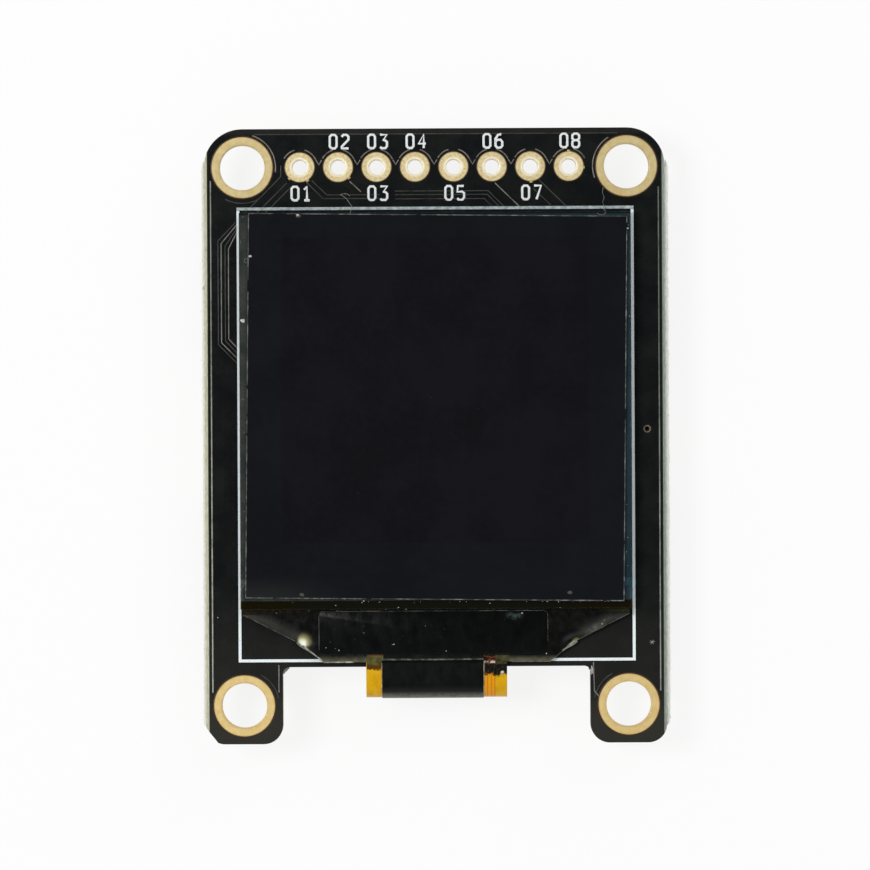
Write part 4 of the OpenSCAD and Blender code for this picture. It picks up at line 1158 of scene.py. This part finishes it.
def part_outlines():
    """Printed lines at the corners of the large parts and beside the small ones."""
    lines = []
    for node, rim in (("level_shifter", 0.1), ("regulator", 0.25), ("boost_converter", 0.25),
                      ("coil_shield", 0.35)):
        low, high = box_mm(node)
        for y in (low[1] - rim, high[1] + rim):
            lines.append([(low[0] - rim, y), (low[0] + 0.5, y)])
            lines.append([(high[0] + rim, y), (high[0] - 0.5, y)])
    for node in SMALL_PARTS:
        for low, high in solids_of(node):
            if high[0] - low[0] > high[1] - low[1]:
                lines += [[(low[0] + 0.1, y), (high[0] - 0.1, y)] for y in (low[1] - 0.3, high[1] + 0.3)]
            else:
                lines += [[(x, low[1] + 0.1), (x, high[1] - 0.1)] for x in (low[0] - 0.3, high[0] + 0.3)]
    return lines


def dress_back():
    """Tracks, covered vias and print on the board's back."""
    covered = bpy.data.materials["covered_tracks"]
    # Painted highlight: the lacquer over the track ridges is lighter.
    strands("back_tracks", back_track_lines(), 0.06, covered, 0.3, BACK_Z - 0.001)

    vias = bmesh.new()
    for x, y in ((-9.4, 2.4), (-8.2, 4.6), (-5.9, 1.2), (-2.2, 1.4), (1.9, 1.2), (7.8, 2.2), (9.6, 4.2),
                 (13.9, 5.6), (13.8, 13.2), (-13.8, 12.4), (-13.7, 5.2), (-9.6, -6.2), (-4.6, -10.9),
                 (6.2, -9.8), (9.4, -4.4), (13.6, -5.2), (-13.8, -11.2), (2.4, -3.4), (-1.0, -7.4),
                 (7.2, 13.8), (-4.4, 13.6)):
        turned(vias, [(0.02, BACK_Z - 0.004), (0.12, BACK_Z - 0.006), (0.17, BACK_Z - 0.03),
                      (0.27, BACK_Z - 0.022), (0.3, BACK_Z + 0.01), (0.02, BACK_Z + 0.01)], x, y, 16)
    bmesh.ops.remove_doubles(vias, verts=vias.verts, dist=0.0005)
    bmesh.ops.recalc_face_normals(vias, faces=vias.faces)
    finished("covered_vias", vias, covered)

    white = bpy.data.materials["white_print"]
    strands("back_part_outlines", part_outlines(), 0.07, white, 0.25, BACK_Z - 0.006)

    figures = []
    for i, x in enumerate(PINS):
        figures += figure_lines(str(i + 1), x, 15.9, 0.85, True)
    boxes = [box for node in SMALL_PARTS for box in solids_of(node)]
    for i, (low, high) in enumerate(boxes):
        figures += figure_lines(str(i + 1), (low[0] + high[0]) / 2, high[1] + 0.85, 0.62, True)
    strands("back_figures", figures, 0.065, white, 0.2, BACK_Z - 0.005)


# Dust, hairs and crumbs

def dress_with_dust():
    """Lint, dust and crumbs, with a scratch, a chip in the glass and dull spots of glue."""
    dress_with_hairs()
    dust = plain_finish("dust", paint(150, 150, 142), paint(222, 220, 208), 0.1, 0.6, 0.8, 0.01)
    dress_with_specks(dust)
    scratches = [[(14.24 + 0.2 * math.cos(t), -13.69 + 0.16 * math.sin(t), 0.004),
                  (14.24 - 0.16 * math.cos(t), -13.69 - 0.16 * math.sin(t), 0.004)] for t in (0.2, 1.1, 2.3)]
    strands("star_scratch", scratches, 0.013, dust)
    chip = plain_finish("glass_chip", paint(170, 162, 146), paint(236, 234, 226), 0.12, 0.4, 0.6, 0.01)
    flake = bmesh.new()
    speck(flake, -12.67, 7.65, ON_GLASS, 0.19, 0.3)
    finished("glass_chip", flake, chip, 60)

    dull = plain_finish("pale_glue", paint(44, 43, 34), paint(74, 72, 60), 0.12, 0.5, 0.7, 0.01)
    dots = bmesh.new()
    for x, y in ((-8.84, -10.42), (8.8, -10.36), (-8.97, 14.55)):
        speck(dots, x, y, pol_high[2] + 0.003, 0.19, 0.1)
    finished("olive_spots", dots, dull, 60)
    dress_with_crumbs()


def dress_with_hairs():
    """Two hairs that climb from the board over the glass, and a curl on the glass."""
    lint = plain_finish("lint", paint(92, 92, 90), paint(160, 160, 154), 0.2, 0.5, 0.7, 0.004)
    low, high = 0.035, 1.28
    hooked = [(-5.59, 15.88, low), (-5.75, 16.02, low + 0.1), (-6.0, 16.04, low + 0.1), (-6.23, 15.97, low),
              (-6.05, 15.87, low), (-5.84, 15.74, low), (-5.65, 15.47, low), (-5.46, 15.19, 0.06),
              (-5.49, 14.92, 0.5), (-5.54, 14.74, 1.27), (-5.6, 14.64, high)]
    wavy = [(11.15, 16.35, low), (11.1, 16.0, low), (11.22, 15.7, low), (11.12, 15.4, low),
            (11.2, 15.15, 0.06), (11.15, 14.95, 0.5), (11.3, 14.68, 1.27), (11.15, 14.5, high),
            (10.9, 14.5, high), (10.72, 14.62, high)]
    curl = [(-12.42 + 0.13 * math.cos(t), 11.6 + 0.15 * math.sin(t), high)
            for t in (-0.6, 0.4, 1.4, 2.4, 3.4, 4.4, 5.2)]
    strands("lint_hairs", [hooked, wavy, curl], 0.017, lint)


def dress_with_specks(dust):
    """Dust on the sheet, the film, the glass and the board: what is seen by itself, then the rest."""
    bm = bmesh.new()
    on_sheet = pol_high[2] + 0.004
    for x, y, size in ((-12.15, 11.9, 0.12), (12.72, 13.6, 0.07), (-9.0, 14.58, 0.12)):
        speck(bm, x, y, on_sheet, size, 0.25)
    for x, y, size in ((-2.82, -13.74, 0.06), (-6.44, -14.12, 0.05), (-7.3, -13.95, 0.04),
                       (-4.79, -12.98, 0.035), (5.65, -11.72, 0.06), (7.25, -14.4, 0.05),
                       (10.93, -12.46, 0.06), (11.08, -12.2, 0.04), (0.63, -14.2, 0.04)):
        speck(bm, x, y, film_height(x, y) + (0.08 if abs(x) > 7.5 else 0.135), size)
    for x, y, size in ((-6.64, -11.14, 0.05), (-4.79, -10.84, 0.06), (-2.5, -11.3, 0.05),
                       (-2.0, -11.42, 0.035), (-3.33, -11.42, 0.03), (3.53, -11.04, 0.05),
                       (8.16, -11.36, 0.035)):
        speck(bm, x, y, ON_GLASS, size, 0.4)
    speck(bm, 4.33, -15.62, film_height(4.33, WAIST_Y) - 0.02, 0.16)
    speck(bm, -14.46, -11.94, 0.006, 0.045, 0.4)

    for _ in range(26):
        speck(bm, chance.uniform(-12.2, 12.2), pol_low[1] + chance.uniform(-0.04, 0.06), on_sheet - 0.05,
              chance.uniform(0.016, 0.034), 0.6)
    for _ in range(14):
        x = chance.uniform(-7.4, 7.0)
        y = chance.uniform(-14.2, -11.9)
        speck(bm, x, y, film_height(x, y) + 0.135, chance.uniform(0.01, 0.022))
    for _ in range(14):
        x = chance.uniform(-11, 11)
        speck(bm, x, glass_low[1] - chance.uniform(0.06, 0.3), film_height(x, -11.6) + 0.075,
              chance.uniform(0.012, 0.026))
    for _ in range(34):
        x = chance.choice((-1, 1)) * chance.uniform(12.52, 12.84)
        speck(bm, x, chance.uniform(-10.8, 14.6), ON_GLASS, chance.uniform(0.014, 0.032))
    finished("dust_specks", bm, dust, 60)


def dress_with_crumbs():
    """Crumbs of the board left by the cutter: four in the notches, and a flat one beside them."""
    bm = bmesh.new()
    for x, y, size in ((-NOTCH_X + 0.12, NOTCH_Y - 0.14, 0.19), (-NOTCH_X + 0.3, NOTCH_Y - 0.05, 0.13),
                       (-NOTCH_X + 0.03, NOTCH_Y - 0.34, 0.12), (NOTCH_X - 0.03, NOTCH_Y - 0.2, 0.08)):
        lump = bmesh.ops.create_icosphere(bm, subdivisions=3, radius=size)["verts"]
        for vert in lump:
            vert.co *= 1 + 0.16 * math.sin(vert.co.x * 31 + vert.co.y * 17) * math.sin(vert.co.z * 23)
        bmesh.ops.scale(bm, vec=(1, 1, 3.2), verts=lump)
        bmesh.ops.translate(bm, vec=(x, y, -0.75), verts=lump)
    lump = bmesh.ops.create_icosphere(bm, subdivisions=3, radius=0.11)["verts"]
    for vert in lump:
        vert.co *= 1 + 0.2 * math.sin(vert.co.x * 37 + vert.co.y * 21)
    bmesh.ops.scale(bm, vec=(1, 2.5, 0.2), verts=lump)
    bmesh.ops.translate(bm, vec=(NOTCH_X + 0.1, NOTCH_Y - 0.3, 0.0), verts=lump)
    resin = plain_finish("resin_dust", paint(126, 124, 116), paint(180, 178, 168), 0.2, 0.7, 0.9, 0.03)
    finished("routing_crumbs", bm, resin, 60)


# Studio

def build_studio():
    """A camera straight above, soft lamps, and white paper under the module."""
    scene = bpy.context.scene
    scene.view_settings.view_transform = "Standard"

    camera = bpy.data.cameras.new("camera")
    camera.sensor_width = 36
    camera.lens = 36 * 470 / 57.48
    camera.clip_start = 0.01
    camera.clip_end = 20
    stand = bpy.data.objects.new("camera", camera)
    stand.location = (-0.000033, 0.000055, 0.47)
    stand.rotation_euler = (0, 0, math.radians(-0.287))
    scene.collection.objects.link(stand)
    scene.camera = stand

    scene.world = bright_room()
    soft_light("key_light", (-0.28, 0.07, 0.55), 0.2, 1.55)
    soft_light("fill_light", (0.3, 0.4, 0.42), 0.4, 0.65)

    bm = bmesh.new()
    bmesh.ops.create_circle(bm, cap_ends=True, segments=96, radius=2.5)
    bmesh.ops.translate(bm, vec=(0, 0, cad_bounds[0][2]), verts=bm.verts)
    mesh = bpy.data.meshes.new("floor")
    bm.to_mesh(mesh)
    bm.free()
    floor = bpy.data.objects.new("floor", mesh)
    scene.collection.objects.link(floor)
    floor.data.materials.append(floor_material())


def ray_share(tree, *kinds):
    """One for rays of the named kinds, and nothing for the others."""
    rays = tree.nodes.new("ShaderNodeLightPath")
    share = rays.outputs[kinds[0]]
    for kind in kinds[1:]:
        joined = tree.nodes.new("ShaderNodeMath")
        joined.operation = "MAXIMUM"
        tree.links.new(share, joined.inputs[0])
        tree.links.new(rays.outputs[kind], joined.inputs[1])
        share = joined.outputs[0]
    return share


def bright_room():
    """A white room: full strength to the eye, through glass and in reflections, where a dark opening shows
    overhead, and half as bright in the rest of its light.
    """
    world = bpy.data.worlds.new("studio")
    world.use_nodes = True
    tree = world.node_tree
    nodes, links = tree.nodes, tree.links
    nodes.clear()
    output = nodes.new("ShaderNodeOutputWorld")
    background = nodes.new("ShaderNodeBackground")
    links.new(background.outputs[0], output.inputs[0])
    background.inputs["Color"].default_value = (1, 1, 1, 1)
    direction = nodes.new("ShaderNodeTexCoord")
    axes = nodes.new("ShaderNodeSeparateXYZ")
    links.new(direction.outputs["Generated"], axes.inputs[0])
    opening = nodes.new("ShaderNodeMapRange")
    opening.interpolation_type = "SMOOTHSTEP"
    links.new(axes.outputs["Z"], opening.inputs["Value"])
    for socket, value in zip(opening.inputs[1:5], (0.45, 0.92, 1.0, 0.02)):
        socket.default_value = value
    glossy = nodes.new("ShaderNodeMix")
    links.new(ray_share(tree, "Is Glossy Ray"), glossy.inputs[0])
    glossy.inputs[2].default_value = 0.5
    links.new(opening.outputs[0], glossy.inputs[3])
    strength = nodes.new("ShaderNodeMix")
    links.new(ray_share(tree, "Is Camera Ray", "Is Transmission Ray"), strength.inputs[0])
    links.new(glossy.outputs[0], strength.inputs[2])
    strength.inputs[3].default_value = 1.0
    links.new(strength.outputs[0], background.inputs["Strength"])
    return world


def soft_light(name, place, size, power):
    """A square lamp that looks at the module."""
    light = bpy.data.lights.new(name, "AREA")
    light.size = size
    light.energy = power
    lamp = bpy.data.objects.new(name, light)
    lamp.location = place
    lamp.rotation_euler = (-Vector(place)).to_track_quat("-Z", "Y").to_euler()
    bpy.context.scene.collection.objects.link(lamp)


def floor_material():
    """White paper: it shows white to the eye and still takes the shadow."""
    material = bpy.data.materials.new("white_paper")
    material.use_nodes = True
    tree = material.node_tree
    nodes, links = tree.nodes, tree.links
    nodes.clear()
    output = nodes.new("ShaderNodeOutputMaterial")
    paper = nodes.new("ShaderNodeBsdfDiffuse")
    paper.inputs["Color"].default_value = (0.96, 0.96, 0.96, 1)
    glow = nodes.new("ShaderNodeEmission")
    part = nodes.new("ShaderNodeMath")
    part.operation = "MULTIPLY"
    part.inputs[1].default_value = 0.85
    links.new(ray_share(tree, "Is Camera Ray", "Is Glossy Ray", "Is Transmission Ray"), part.inputs[0])
    mix = nodes.new("ShaderNodeMixShader")
    for socket, value in zip(mix.inputs, (part.outputs[0], paper.outputs[0], glow.outputs[0])):
        links.new(value, socket)
    links.new(mix.outputs[0], output.inputs["Surface"])
    return material


build_studio()
dress_board()
dress_front()
dress_sides()
dress_display()
dress_film()
dress_sockets()
dress_back_parts()
dress_back()
dress_with_dust()
